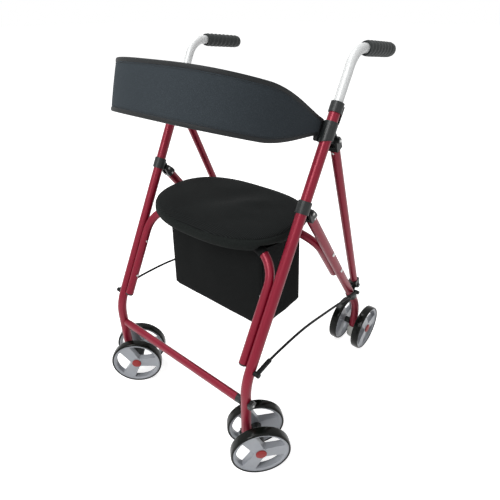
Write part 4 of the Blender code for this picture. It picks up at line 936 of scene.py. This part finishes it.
def bag_trim():
    """Piping on the bag's upright edges, and its hem where the front tube starts to bend."""
    corner = BAG_CORNER * (1 - math.sqrt(0.5)) - BAG_PIPING * BAG_PIPING_SINK
    bend = FRONT_TUBE_BEND
    first, span = BAG_PIPING_SPAN
    for word, side in SIDES.items():
        for end, y in (("front", BAG_FRONT_Y + corner), ("rear", BAG_REAR_Y - corner)):
            path = []
            for share in (first + span * i / BAG_PIPING_STEPS for i in range(BAG_PIPING_STEPS + 1)):
                path.append(Vector((side * (bag_half_width(share) - corner), y, bag_height(share, y))))
            node(f"bag_piping_{end}_{word}", root, "bag", cord(path, BAG_PIPING, X))
        centre = FRONT_MEMBER + X * side * (SEAT_TUBE_HALF_TRACK - bend) - UP_LEG * bend
        angles = [BAG_HEM_TURN * i / BAG_HEM_STEPS for i in range(BAG_HEM_STEPS + 1)]
        path = [centre + bend * (X * side * math.sin(a) + UP_LEG * math.cos(a)) for a in angles]
        hem = skin(path_rings(path, bore(SEAT_TUBE_RADIUS) + STRAP_THICKNESS, BEHIND_LEG))
        node(f"bag_hem_{word}", root, "bag", hem)


def band_frames():
    """Stations along the back band: centre, half height and outward direction at each."""
    forward = Vector((0, -math.cos(BAND_TILT), math.sin(BAND_TILT)))
    origin = on_front_leg(BRACKET_LOW + BAND_END_RISE, BAND_END_OFFSET)
    centres = []
    for angle in (math.pi * i / BAND_STATIONS for i in range(BAND_STATIONS + 1)):
        x, depth = (signed_power(value, 2 / BAND_EXPONENT) for value in (math.cos(angle), math.sin(angle)))
        centres.append(origin + X * x * BAND_HALF_WIDTH + forward * BAND_DEPTH * abs(depth))
    gaps = [(b - a).length for a, b in zip(centres, centres[1:])]
    frames = []
    for i, centre in enumerate(centres):
        share = abs(2 * sum(gaps[:i]) / sum(gaps) - 1)
        late = max(0.0, (share - BAND_TAPER_START) / (1 - BAND_TAPER_START))
        fall = BAND_TAPER_SHARE * late ** BAND_TAPER + (1 - BAND_TAPER_SHARE) * late ** 2 * (3 - 2 * late)
        half = BAND_MIDDLE_HALF_HEIGHT + (BAND_END_HALF_HEIGHT - BAND_MIDDLE_HALF_HEIGHT) * fall
        ahead = (centres[min(i + 1, BAND_STATIONS)] - centres[max(i - 1, 0)]).normalized()
        if i in (0, BAND_STATIONS):
            ahead = forward if i == 0 else -forward
        frames.append((centre, half, ahead.cross(BAND_UP).normalized()))
    return frames


def rounded_box(sides, across_power, up_power):
    """(across, up) points round a rounded box that reaches 1 each way."""
    angles = [2 * math.pi * i / sides for i in range(sides)]
    return [(signed_power(math.cos(a), across_power), signed_power(math.sin(a), up_power)) for a in angles]


def band_sweep(name, kind, frames, middle, half_width, half_height, power, puff=0.0):
    """A closed strip along the band, with a rounded box as section. middle gives each centre's height."""
    section = [(across * (1 + puff * (1 - up * up)), up) for across, up in rounded_box(BAND_SIDES, BAND_ROUND, power)]
    node(name, root, kind, skin([
        [centre + out * half_width * w + BAND_UP * (middle(half) + half_height(half) * h) for w, h in section]
        for centre, half, out in frames
    ]))


def build_band():
    """The padded back band: a bowed strip whose height tapers to its bolted ends, bound along both edges."""
    frames = band_frames()
    thick = BAND_THICKNESS / 2
    height = [lambda half: half * BAND_INSET, lambda half: BINDING_HALF_HEIGHT, lambda half: half + CUFF_REACH]
    band_sweep("backrest_band", "band", frames, lambda half: 0.0, thick, height[0], BAND_SQUARE, BAND_PUFF)
    for word, sign in (("top", 1), ("bottom", -1)):
        band_sweep(
            f"band_binding_{word}", "binding", frames, lambda half: sign * (half - BINDING_HALF_HEIGHT),
            thick + BINDING_RISE, height[1], BAND_ROUND,
        )
        for face, turn in (("outer", 1), ("inner", -1)):
            band_stitches(f"band_stitches_{word}_{face}", frames, sign, turn)
    for word, end, following in (("left", frames[0], frames[1]), ("right", frames[-1], frames[-2])):
        inner = tuple(a + (b - a) * CUFF_SHARE for a, b in zip(end, following))
        ends = (end, inner) if word == "left" else (inner, end)
        band_sweep(f"band_cuff_{word}", "binding", ends, lambda half: 0.0, thick + CUFF_RISE, height[2], BAND_SQUARE)
        band_tab(f"band_tab_{word}", end, following)


def band_tab(name, end, following):
    """The end of the webbing, folded under the band beside its bracket."""
    centre, half, out = end
    ahead = (following[0] - centre).normalized()
    middle = centre + ahead * TAB_PLACE - BAND_UP * half
    section = rounded_box(PIN_SIDES, BAND_ROUND, BAND_ROUND)
    node(name, root, "binding", skin([
        [
            middle + out * across * TAB_HALF_THICKNESS
            + ahead * along * TAB_HALF_LENGTH * grow + BAND_UP * up * TAB_HALF_HEIGHT * grow
            for along, up in section
        ]
        for across, grow in TAB_RINGS
    ]))


def band_stitches(name, frames, sign, turn):
    """A row of stitches just inside a binding, standing a little proud of the fabric."""
    level = 2 * BINDING_HALF_HEIGHT + STITCH_INSET
    proud = turn * BAND_THICKNESS / 2 * STITCH_LIFT
    line = [centre + BAND_UP * sign * (half - level) + out * proud for centre, half, out in frames]
    bm = bmesh.new()
    carried = 0.0
    for a, b in zip(line, line[1:]):
        length = (b - a).length
        if length < HAIR / 10:
            continue
        ahead = (b - a) / length
        while carried < length:
            start = a + ahead * carried
            cord([start, start + ahead * STITCH_LENGTH], STITCH_RADIUS, BAND_UP, bm)
            carried += STITCH_PITCH
        carried -= length
    node(name, root, "thread", bm)


def smooth_route(points, count):
    """count points, evenly spread by parameter, on a soft B-spline that starts and ends on the route's ends."""
    ends = [2 * points[0] - points[1], *points, 2 * points[-1] - points[-2]]
    made = []
    for k in range(count):
        place = k / (count - 1) * (len(points) - 1)
        i = min(int(place), len(points) - 2)
        t = place - i
        shares = ((1 - t) ** 3, 3 * t ** 3 - 6 * t ** 2 + 4, 1 + 3 * t + 3 * t ** 2 - 3 * t ** 3, t ** 3)
        made.append(sum((share * point for share, point in zip(shares, ends[i:i + 4])), Vector()) / 6)
    return made


def side_cable(name, side):
    """The cable that stops the legs from spreading: ferruled at both ends, each end bolted through an eye."""
    x = side * (LEG_HALF_TRACK + CABLE_STANDOFF)
    points = smooth_route([yz(point, x) for point in CABLE_ROUTE], CABLE_POINTS)
    curve = bpy.data.curves.new(name, "CURVE")
    curve.dimensions = "3D"
    curve.bevel_depth = CABLE_RADIUS
    curve.bevel_resolution = 2
    curve.use_fill_caps = True
    spline = curve.splines.new("POLY")
    spline.points.add(len(points) - 1)
    for made, point in zip(spline.points, points):
        made.co = (*point, 1.0)
        near_end = min((point - points[0]).length, (point - points[-1]).length)
        made.radius = FERRULE_RATIO if near_end < FERRULE_LENGTH else 1.0
    guide = bpy.data.objects.new(f"{name}_guide", curve)
    bpy.context.scene.collection.objects.link(guide)
    bm = bmesh.new()
    bm.from_mesh(evaluated_mesh(guide))
    bpy.data.objects.remove(guide)
    bmesh.ops.remove_doubles(bm, verts=bm.verts, dist=HAIR / 10)
    node(name, root, "cable", bm)
    face = LEG_HALF_TRACK + LEG_RADIUS + CLEARANCE
    depth = CABLE_STANDOFF - LEG_RADIUS + FERRULE_RATIO * CABLE_RADIUS
    head = depth + BOLT_HEIGHT / 2
    profile = ((CABLE_EYE_RADIUS, 0), (CABLE_EYE_RADIUS, depth), (BOLT_RADIUS, depth), (BOLT_RADIUS, head))
    for word, eye, body in (("front", CABLE_ROUTE[0], root), ("rear", CABLE_ROUTE[-1], rear_frame)):
        node(f"{name}_{word}_eye", body, "cable", turned(yz(eye, side * face), X * side, profile, PIN_SIDES))


def turned_to(bm, yaw, place):
    bmesh.ops.rotate(bm, verts=bm.verts, cent=Vector(), matrix=Matrix.Rotation(-yaw, 3, "Z"))
    bmesh.ops.translate(bm, verts=bm.verts, vec=place)
    return bm


def tyre():
    """A tyre with round shoulders and a slightly domed tread."""
    half, top = WHEEL_WIDTH / 2, WHEEL_RADIUS - TYRE_CROWN
    flat = half - TYRE_SHOULDER
    outside = [(bore(WHEEL_RADIUS - TYRE_DEPTH, WHEEL_SIDES), half - TYRE_BEAD)]
    for i in range(TYRE_SHOULDER_STEPS + 1):
        turn = i / TYRE_SHOULDER_STEPS * math.pi / 2
        outside.append((top - TYRE_SHOULDER * (1 - math.sin(turn)), flat + TYRE_SHOULDER * math.cos(turn)))
    outside += [(WHEEL_RADIUS - TYRE_CROWN * share ** 2, flat * share) for share in TYRE_TREAD]
    profile = [(radius, -x) for radius, x in outside] + outside[::-1]
    return turned(Vector(), X, profile, WHEEL_SIDES, closed=True, first=-Z)


def window_inset(offset):
    """How far a window's rounded corner draws in its edge at this distance from the spoke."""
    if offset >= WINDOW_CORNER:
        return 0.0
    return WINDOW_CORNER - math.sqrt(WINDOW_CORNER ** 2 - (WINDOW_CORNER - offset) ** 2)


def rim_circle(radius, spoke_half_width, corner=0):
    """One ring's points as (radius, angle): SPOKE_COLUMNS steps over each spoke, WINDOW_COLUMNS over each window.

    corner is -1 on a window's outer edge and 1 on its inner one, where the edge curves into the spokes."""
    half = math.asin(spoke_half_width / radius)
    window = 2 * math.pi / SPOKES - 2 * half
    points = []
    for start in (spoke * 2 * math.pi / SPOKES - half for spoke in range(SPOKES)):
        for i in range(SPOKE_COLUMNS):
            points.append((radius + corner * WINDOW_CORNER, start + 2 * half * i / SPOKE_COLUMNS))
        for i in range(WINDOW_COLUMNS):
            share = 0.5 - 0.5 * math.cos(math.pi * i / WINDOW_COLUMNS)
            offset = window * min(share, 1 - share) * radius
            points.append((radius + corner * window_inset(offset), start + 2 * half + window * share))
    return points


def rim():
    """A wheel with three broad dished spokes, three windows right through it and a raised bead round the edge."""
    outer = WHEEL_RADIUS - TYRE_DEPTH
    bead, inner = outer - RIM_BEAD, outer - RIM_BAND
    middle, boss = (RIM_HUB_RADIUS + inner) / 2, (HUB_CAP_RADIUS + RIM_HUB_RADIUS) / 2
    waist = (SPOKE_HALF_WIDTH_HUB + SPOKE_HALF_WIDTH_RIM) / 2
    inner_points = rim_circle(inner, SPOKE_HALF_WIDTH_RIM, -1)
    count = len(inner_points)
    even = [2 * math.pi * (k - SPOKE_COLUMNS / 2) / count for k in range(count)]
    plain = [angle for _, angle in inner_points]
    circles = [([(radius, angle) for angle in even], 0.0) for radius in (bore(AXLE_RADIUS, count), boss)]
    circles += [
        (rim_circle(RIM_HUB_RADIUS, SPOKE_HALF_WIDTH_HUB), RIM_BOSS), (rim_circle(middle, waist), RIM_DISH),
        (inner_points, RIM_DISH),
    ]
    edges = ((bead, RIM_BOSS), (bead + RIM_BOSS, 0.0), (outer - RIM_BOSS, 0.0), (outer, RIM_BOSS))
    circles += [([(radius, angle) for angle in plain], inset) for radius, inset in edges]
    hub, across, edge, last = 2, 3, 4, len(circles) - 1
    drafted = {
        hub: rim_circle(RIM_HUB_RADIUS + WINDOW_DRAFT, SPOKE_HALF_WIDTH_HUB + WINDOW_DRAFT),
        across: rim_circle(middle, waist + WINDOW_DRAFT),
        edge: rim_circle(inner - 2 * WINDOW_DRAFT, SPOKE_HALF_WIDTH_RIM + WINDOW_DRAFT, -1),
    }
    bm = bmesh.new()

    def ring_verts(x, points):
        return [bm.verts.new((x, r * math.cos(a), r * math.sin(a))) for r, a in points]

    grid = [[ring_verts(side * (RIM_WIDTH / 2 - inset), points) for points, inset in circles] for side in (-1, 1)]
    waists = {ring: ring_verts(0, points) for ring, points in drafted.items()}
    faces = []

    def face(corners, material=0):
        made = bm.faces.new(corners)
        made.material_index = material
        faces.append(made)

    def wall(a, b):
        low, high = (grid[0][a[0]][a[1]], grid[0][b[0]][b[1]]), (grid[1][b[0]][b[1]], grid[1][a[0]][a[1]])
        if a[0] not in waists:
            face((*low, *high))
            return
        from_a, from_b = waists[a[0]][a[1]], waists[b[0]][b[1]]
        # material 1 is painted shade: the window walls get a darker copy of the rim's grey
        face((*low, from_b, from_a), 1)
        face((from_a, from_b, *high), 1)

    for k in range(count):
        n = (k + 1) % count
        column = k % (SPOKE_COLUMNS + WINDOW_COLUMNS)
        spoke = column < SPOKE_COLUMNS
        for side in grid:
            for low in range(last):
                if spoke or low not in (hub, across):
                    corners = (side[low][k], side[low][n], side[low + 1][n], side[low + 1][k])
                    # material 2, on the raised bead round the edge, is a painted highlight: a lighter copy of the rim's
                    # grey
                    face(corners, 2 if low > edge else 0)
        for ring in (0, last) if spoke else (0, last, hub, edge):
            wall((ring, k), (ring, n))
        if column in (0, SPOKE_COLUMNS):
            wall((hub, k), (across, k))
            wall((across, k), (edge, k))
    unused = [vert for ring in waists.values() for vert in ring if not vert.link_faces]
    bmesh.ops.delete(bm, geom=unused, context="VERTS")
    bmesh.ops.recalc_face_normals(bm, faces=faces)
    return bm


def twin_wheels(name, side, centre, trail, yaw):
    """An outer and an inner wheel, trail behind a centre on the floor and turned by yaw about it."""
    for place, way in (("outer", side), ("inner", -side)):
        offset = Matrix.Rotation(-yaw, 3, "Z") @ Vector((way * TWIN_SPACING / 2, trail, WHEEL_RADIUS))
        for kind, shape in (("tyre", tyre()), ("rim", rim())):
            piece = turned_to(shape, yaw, centre + offset)
            node(f"{kind}_{name}_{place}", f"wheel_{name}_{place}", kind, piece)


def caster(word, side, x):
    """A swivelling crown and trailing arm with a barrel for the axle of two wheels."""
    yaw, stem, swivel = CASTER_YAW[side], yz((STEM_Y, 0), x), f"caster_{word}"
    crown, edge, inset = CASTER_CROWN_RADIUS, CASTER_EDGE, CASTER_ARM_INSET
    top = FRONT_LEG_FOOT_Z - CLEARANCE
    low = top - CASTER_CROWN_HEIGHT
    profile = (
        (crown - edge, low), (crown, low + inset), (crown, top - edge), (crown - edge, top),
        (STEM_RADIUS, top), (STEM_RADIUS, top + STEM_LENGTH),
    )
    made = node(f"caster_body_{word}", swivel, "black", turned_to(turned(Vector(), Z, profile), yaw, stem))
    axle_at = Vector((0, CASTER_TRAIL, WHEEL_RADIUS))
    under = arc(axle_at, -Z, CASTER_BARREL_RADIUS - edge / 2, *CASTER_ARM_ARC)
    arm = [*under, (crown, top - inset), (inset - crown, top - inset), (inset - crown, low + edge / 2)]
    for shape, operation in (
        (rod(axle_at, CASTER_BARREL_RADIUS, INNER_FACE), "UNION"),
        (slab(arm, -CASTER_ARM_HALF_WIDTH, CASTER_ARM_HALF_WIDTH), "UNION"),
        (rod(axle_at, bore(AXLE_RADIUS), 2 * INNER_FACE), "DIFFERENCE"),
    ):
        combine(made, turned_to(shape, yaw, stem), operation)
    node(f"caster_axle_{word}", swivel, "cap", turned_to(axle(axle_at), yaw, stem))
    twin_wheels(f"front_{word}", side, stem, CASTER_TRAIL, yaw)


build_front_frame()
for word, _, x in LEGS:
    low, high = PIVOT_STATION + SLEEVE_LOW, PIVOT_STATION + SLEEVE_HIGH
    clamp(f"sleeve_{word}", slider, x, on_front_leg, low, high, REAR_PIVOT)
build_rear_frame()
build_struts()
build_seat()
build_bag()
build_band()
for word, side, x in LEGS:
    handle(word, x)
    side_cable(f"limiter_cable_{word}", side)
    caster(word, side, x)
for word, side, x in LEGS:
    twin_wheels(f"rear_{word}", side, yz((REAR_AXLE_Y, 0), x), 0.0, 0.0)

# Looks: colour, second colour, roughness, metallic, specular, pattern, its scale and its bump
LOOKS = {
    "red": ((0.190, 0.0035, 0.018), (0.235, 0.0055, 0.025), 0.36, 0.25, 0.35, "noise", 1300, 0.0),
    "silver": ((0.64, 0.65, 0.65), (0.65, 0.66, 0.66), 0.45, 0.2, 0.5, "noise", 300, 0.0),
    "black": ((0.007, 0.009, 0.009), (0.012, 0.014, 0.014), 0.42, 0.0, 0.35, "noise", 1400, 0.10),
    "steel": ((0.42, 0.42, 0.42), (0.50, 0.50, 0.49), 0.35, 0.9, 0.5, "noise", 700, 0.05),
    "rubber": ((0.014, 0.0168, 0.0168), (0.026, 0.030, 0.030), 0.6, 0.0, 0.3, "noise", 1100, 0.15),
    "tyre": ((0.003, 0.004, 0.003), (0.006, 0.007, 0.006), 0.16, 0.0, 0.14, "noise", 600, 0.02),
    "rim": ((0.27, 0.285, 0.31), (0.31, 0.325, 0.35), 0.35, 0.15, 0.5, "noise", 700, 0.04),
    # painted shade: a darker copy of the rim's grey on the windows' walls, standing in for the shade inside the windows
    "rim_wall_painted_shade": ((0.022, 0.024, 0.027), (0.036, 0.039, 0.044), 0.5, 0.0, 0.5, "noise", 700, 0.04),
    # painted highlight: a lighter copy of the rim's grey on the raised bead round the edge
    "rim_bead_painted_highlight": ((0.40, 0.42, 0.45), (0.45, 0.47, 0.50), 0.35, 0.1, 0.5, "noise", 700, 0.04),
    "cap": ((0.26, 0.020, 0.020), (0.31, 0.027, 0.025), 0.5, 0.0, 0.25, "noise", 700, 0.05),
    "grey": ((0.50, 0.50, 0.47), (0.56, 0.56, 0.53), 0.7, 0.0, 0.5, "noise", 700, 0.1),
    "fabric": ((0.004, 0.0045, 0.0045), (0.024, 0.027, 0.027), 0.8, 0.0, 0.07, "mesh", 95, 0.3),
    "side_fabric": ((0.0045, 0.0055, 0.0052), (0.017, 0.020, 0.019), 0.8, 0.0, 0.07, "weave", 700, 0.3),
    "bag": ((0.003, 0.0035, 0.0035), (0.010, 0.011, 0.011), 0.8, 0.0, 0.07, "weave", 900, 0.3),
    "band": ((0.025, 0.031, 0.036), (0.046, 0.056, 0.065), 0.9, 0.0, 0.12, "weave", 800, 0.35),
    "binding": ((0.006, 0.007, 0.008), (0.016, 0.018, 0.019), 0.6, 0.0, 0.25, "weave", 1100, 0.3),
    "thread": ((0.010, 0.012, 0.013), (0.030, 0.034, 0.036), 0.6, 0.0, 0.3, "noise", 2500, 0.2),
    "cable": ((0.003, 0.0035, 0.0035), (0.006, 0.007, 0.007), 0.5, 0.0, 0.15, "noise", 1800, 0.1),
    "board": ((0.020, 0.020, 0.020), (0.030, 0.030, 0.030), 0.7, 0.0, 0.5, "noise", 500, 0.1),
}
ALSO_SHOWN = {"storage_bag": ("bag_floor",)}
# the rim's second and third looks are painted shade on the window walls and a painted highlight on the bead
ALSO_LOOKS = {"rim": ("rim_wall_painted_shade", "rim_bead_painted_highlight")}
BUMP_DISTANCE = 0.0005
WEAR_SCALE = 14
WEAR_DEPTH = 0.05
EDGE_WIDTH = 0.0006
EDGE_ANGLE = math.radians(40)
SHARP_ANGLE = math.radians(35)
made_looks = {}


def add(tree, kind, **values):
    """A new node of a tree with these input values. An underscore in a key stands for a space."""
    made = tree.nodes.new(f"ShaderNode{kind}")
    for key, value in values.items():
        made.inputs[key.replace("_", " ")].default_value = value
    return made


def pattern(tree, place, kind, scale):
    """The output that mixes a look's two colours: crossed waves, cells or noise."""
    if kind == "mesh":
        product = add(tree, "Math")
        product.operation = "MULTIPLY"
        for i, direction in enumerate("XY"):
            threads = add(tree, "TexWave", Scale=scale)
            threads.bands_direction = direction
            tree.links.new(place, threads.inputs["Vector"])
            tree.links.new(threads.outputs["Fac"], product.inputs[i])
        return product.outputs["Value"]
    made = add(tree, "TexVoronoi" if kind == "weave" else "TexNoise", Scale=scale)
    tree.links.new(place, made.inputs["Vector"])
    return made.outputs["Distance" if kind == "weave" else "Fac"]


def look(name):
    """The node material of one look: two close colours mixed by its pattern, with a matching bump."""
    if name in made_looks:
        return made_looks[name]
    colour, second, roughness, metallic, specular, kind, scale, rise = LOOKS[name]
    made = bpy.data.materials.new(f"look_{name}")
    made.use_nodes = True
    tree = made.node_tree
    shader = tree.nodes["Principled BSDF"]
    shader.inputs["Metallic"].default_value = metallic
    shader.inputs["Specular IOR Level"].default_value = specular
    place = add(tree, "TexCoord").outputs["Object"]
    height = pattern(tree, place, kind, scale)
    mix = add(tree, "Mix")
    mix.data_type = "RGBA"
    mix.inputs[6].default_value = (*colour, 1)
    mix.inputs[7].default_value = (*second, 1)
    wear = add(tree, "TexNoise", Scale=WEAR_SCALE)
    spread = add(tree, "MapRange", To_Min=roughness - WEAR_DEPTH, To_Max=roughness + WEAR_DEPTH)
    bump = add(tree, "Bump", Strength=rise, Distance=BUMP_DISTANCE)
    for output, target in (
        (height, mix.inputs[0]), (mix.outputs[2], shader.inputs["Base Color"]), (place, wear.inputs["Vector"]),
        (wear.outputs["Fac"], spread.inputs["Value"]), (spread.outputs["Result"], shader.inputs["Roughness"]),
        (height, bump.inputs["Height"]), (bump.outputs["Normal"], shader.inputs["Normal"]),
    ):
        tree.links.new(output, target)
    made_looks[name] = made
    return made


def paint(name, second, test):
    """Gives a second look to the faces of a piece whose middle passes the test, in the walker's own frame."""
    mesh = pieces[name][0].data
    mesh.materials.append(look(second))
    for face in mesh.polygons:
        if test(face.center):
            face.material_index = len(mesh.materials) - 1


def paint_parts():
    """The second looks: bolts in the rear legs, black ends of tubes and axles, and the cushion's side."""
    face = LEG_HALF_TRACK + LEG_RADIUS + HAIR
    foot = STRUT_LENGTH - STRUT_FOOT_SLOT - STRUT_FOOT_BODY - 10 * HAIR
    cheek = STRUT_RADIUS + HAIR
    for word in SIDES:
        paint(f"rear_leg_{word}", "steel", lambda p: abs(p.x) > face)
        paint(f"strut_{word}", "black", lambda p: (
            (p - STRUT_PIVOT).dot(DOWN_STRUT) > foot or abs(abs(p.x) - LEG_HALF_TRACK) > cheek))
    paint("front_seat_tube", "black", lambda p: (p - FRONT_CORNER).dot(UP_LEG) < FRONT_TUBE_END + TUBE_CAP_LENGTH)
    paint("rear_seat_tube", "black", lambda p: (p - REAR_PIVOT).dot(DOWN_REAR) > REAR_TUBE_END - TUBE_CAP_LENGTH)
    rim_top = BOARD_Z + SEAT_HEIGHT + SEAT_SEAM_RISE
    paint("seat_cushion", "side_fabric", lambda p: p.z + seat_droop(p, SEAT_HEIGHT) < rim_top)
    paint("lower_crossbar", "black", lambda p: p.x > CROSSBAR_END - CROSSBAR_PLUG - HAIR)
    for word, _, x in LEGS:
        paint(f"rear_axle_{word}", "black", lambda p: (p - REAR_AXLE - X * x).length < OUTER_FACE - HAIR)


def dress():
    """Paints every piece, moves it into the shared frame, softens it, gives it its body and hides the imported part it
    stands for.
    """
    for made, body, kind in pieces.values():
        made.data.materials.clear()
        for each in (kind, *ALSO_LOOKS.get(kind, ())):
            made.data.materials.append(look(each))
    paint_parts()
    for name, (made, body, kind) in pieces.items():
        made.data.transform(Matrix.Translation(WALKER_ORIGIN))
        if kind in ("black", "rim", "grey"):
            edge = made.modifiers.new("Edge", "BEVEL")
            edge.width = EDGE_WIDTH
            edge.segments = 2
            edge.limit_method = "ANGLE"
            edge.angle_limit = EDGE_ANGLE
        made.data.shade_smooth()
        made.data.set_sharp_from_angle(angle=SHARP_ANGLE)
        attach(made, body)
        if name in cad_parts:
            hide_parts(name, *ALSO_SHOWN.get(name, ()))


def fold_soft_pieces():
    """Gives the side cables, the bag and the bag's piping each their own copy of their mesh."""
    for word, side in SIDES.items():
        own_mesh(pieces[f"limiter_cable_{word}"][0])
    for name, (made, *_) in pieces.items():
        if name == "storage_bag" or name.startswith("bag_piping"):
            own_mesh(made)


# Stage: floor, surround and lamps (name, place, size, power), and the photograph's camera
FLOOR_SIZE = 30
FLOOR_GLOW = 0.75
LAMP_AIM = Vector((0, 0, 0.5))
LAMPS = (
    ("key", (0.0, -3.8, 4.0), 1.8, 165), ("side", (4.2, -1.2, 2.4), 1.2, 8), ("top", (-1.8, 0.2, 4.4), 1.8, 68),
)
SKY = dict(From_Min=-0.1, From_Max=0.9, To_Min=0.12, To_Max=0.55)
CAMERA_PLACE = Vector((0.67133, -0.69896, 1.01246)) + WALKER_ORIGIN
CAMERA_TURNS = ((39.68, "Z"), (90 - 30.37, "X"), (-0.32, "Z"))
CAMERA_LENS = 29.77
CAMERA_SENSOR = 36
CAMERA_CLIP = (0.05, 100)


def light_path(tree, seen, other, end):
    """Joins two shaders into end: the first where the camera sees it, reflected too, the second as a light."""
    path = add(tree, "LightPath")
    share = path.outputs["Is Camera Ray"]
    for ray in ("Is Glossy Ray", "Is Transmission Ray"):
        either = add(tree, "Math")
        either.operation = "MAXIMUM"
        tree.links.new(share, either.inputs[0])
        tree.links.new(path.outputs[ray], either.inputs[1])
        share = either.outputs["Value"]
    mix = add(tree, "MixShader")
    for output, target in ((share, mix.inputs["Fac"]), (other, mix.inputs[1]), (seen, mix.inputs[2])):
        tree.links.new(output, target)
    tree.links.new(mix.outputs["Shader"], end.inputs["Surface"])


def surround():
    """White where the camera sees it; as a light it is brighter overhead than at the horizon."""
    world = bpy.data.worlds.new("surround")
    world.use_nodes = True
    tree = world.node_tree
    split = add(tree, "SeparateXYZ")
    tree.links.new(add(tree, "TexCoord").outputs["Generated"], split.inputs["Vector"])
    level = add(tree, "MapRange", **SKY)
    tree.links.new(split.outputs["Z"], level.inputs["Value"])
    soft = tree.nodes["Background"]
    soft.inputs["Color"].default_value = (1, 1, 1, 1)
    tree.links.new(level.outputs["Result"], soft.inputs["Strength"])
    white = add(tree, "Background", Color=(1, 1, 1, 1))
    light_path(tree, white.outputs["Background"], soft.outputs["Background"], tree.nodes["World Output"])
    bpy.context.scene.world = world


def stage():
    """A plain pale floor that keeps the shadow, a white surround and soft light."""
    bm = bmesh.new()
    bmesh.ops.create_grid(bm, x_segments=1, y_segments=1, size=FLOOR_SIZE)
    floor = new_object("floor", bm)
    plain = bpy.data.materials.new("floor")
    plain.use_nodes = True
    tree = plain.node_tree
    shader = tree.nodes["Principled BSDF"]
    for key, value in (("Base Color", (0.8, 0.8, 0.8, 1)), ("Roughness", 0.9), ("Specular IOR Level", 0.0)):
        shader.inputs[key].default_value = value
    both = add(tree, "AddShader")
    tree.links.new(shader.outputs["BSDF"], both.inputs[0])
    tree.links.new(add(tree, "Emission", Strength=FLOOR_GLOW).outputs["Emission"], both.inputs[1])
    light_path(tree, both.outputs["Shader"], shader.outputs["BSDF"], tree.nodes["Material Output"])
    floor.data.materials.append(plain)
    surround()
    for name, place, size, power in LAMPS:
        light = bpy.data.lights.new(name, "AREA")
        light.size = size
        light.energy = power
        lamp = bpy.data.objects.new(name, light)
        lamp.location = place
        lamp.rotation_euler = (LAMP_AIM - Vector(place)).to_track_quat("-Z", "Y").to_euler()
        bpy.context.scene.collection.objects.link(lamp)


def camera():
    """The camera fitted to the photograph."""
    lens = bpy.data.cameras.new("camera")
    lens.sensor_width = CAMERA_SENSOR
    lens.lens = CAMERA_LENS
    lens.clip_start, lens.clip_end = CAMERA_CLIP
    made = bpy.data.objects.new("camera", lens)
    place = Matrix.Translation(CAMERA_PLACE)
    for degrees, axis in CAMERA_TURNS:
        place = place @ Matrix.Rotation(math.radians(degrees), 4, axis)
    made.matrix_world = place
    scene = bpy.context.scene
    scene.collection.objects.link(made)
    scene.camera = made
    scene.view_settings.view_transform = "Standard"


dress()
fold_soft_pieces()
stage()
camera()
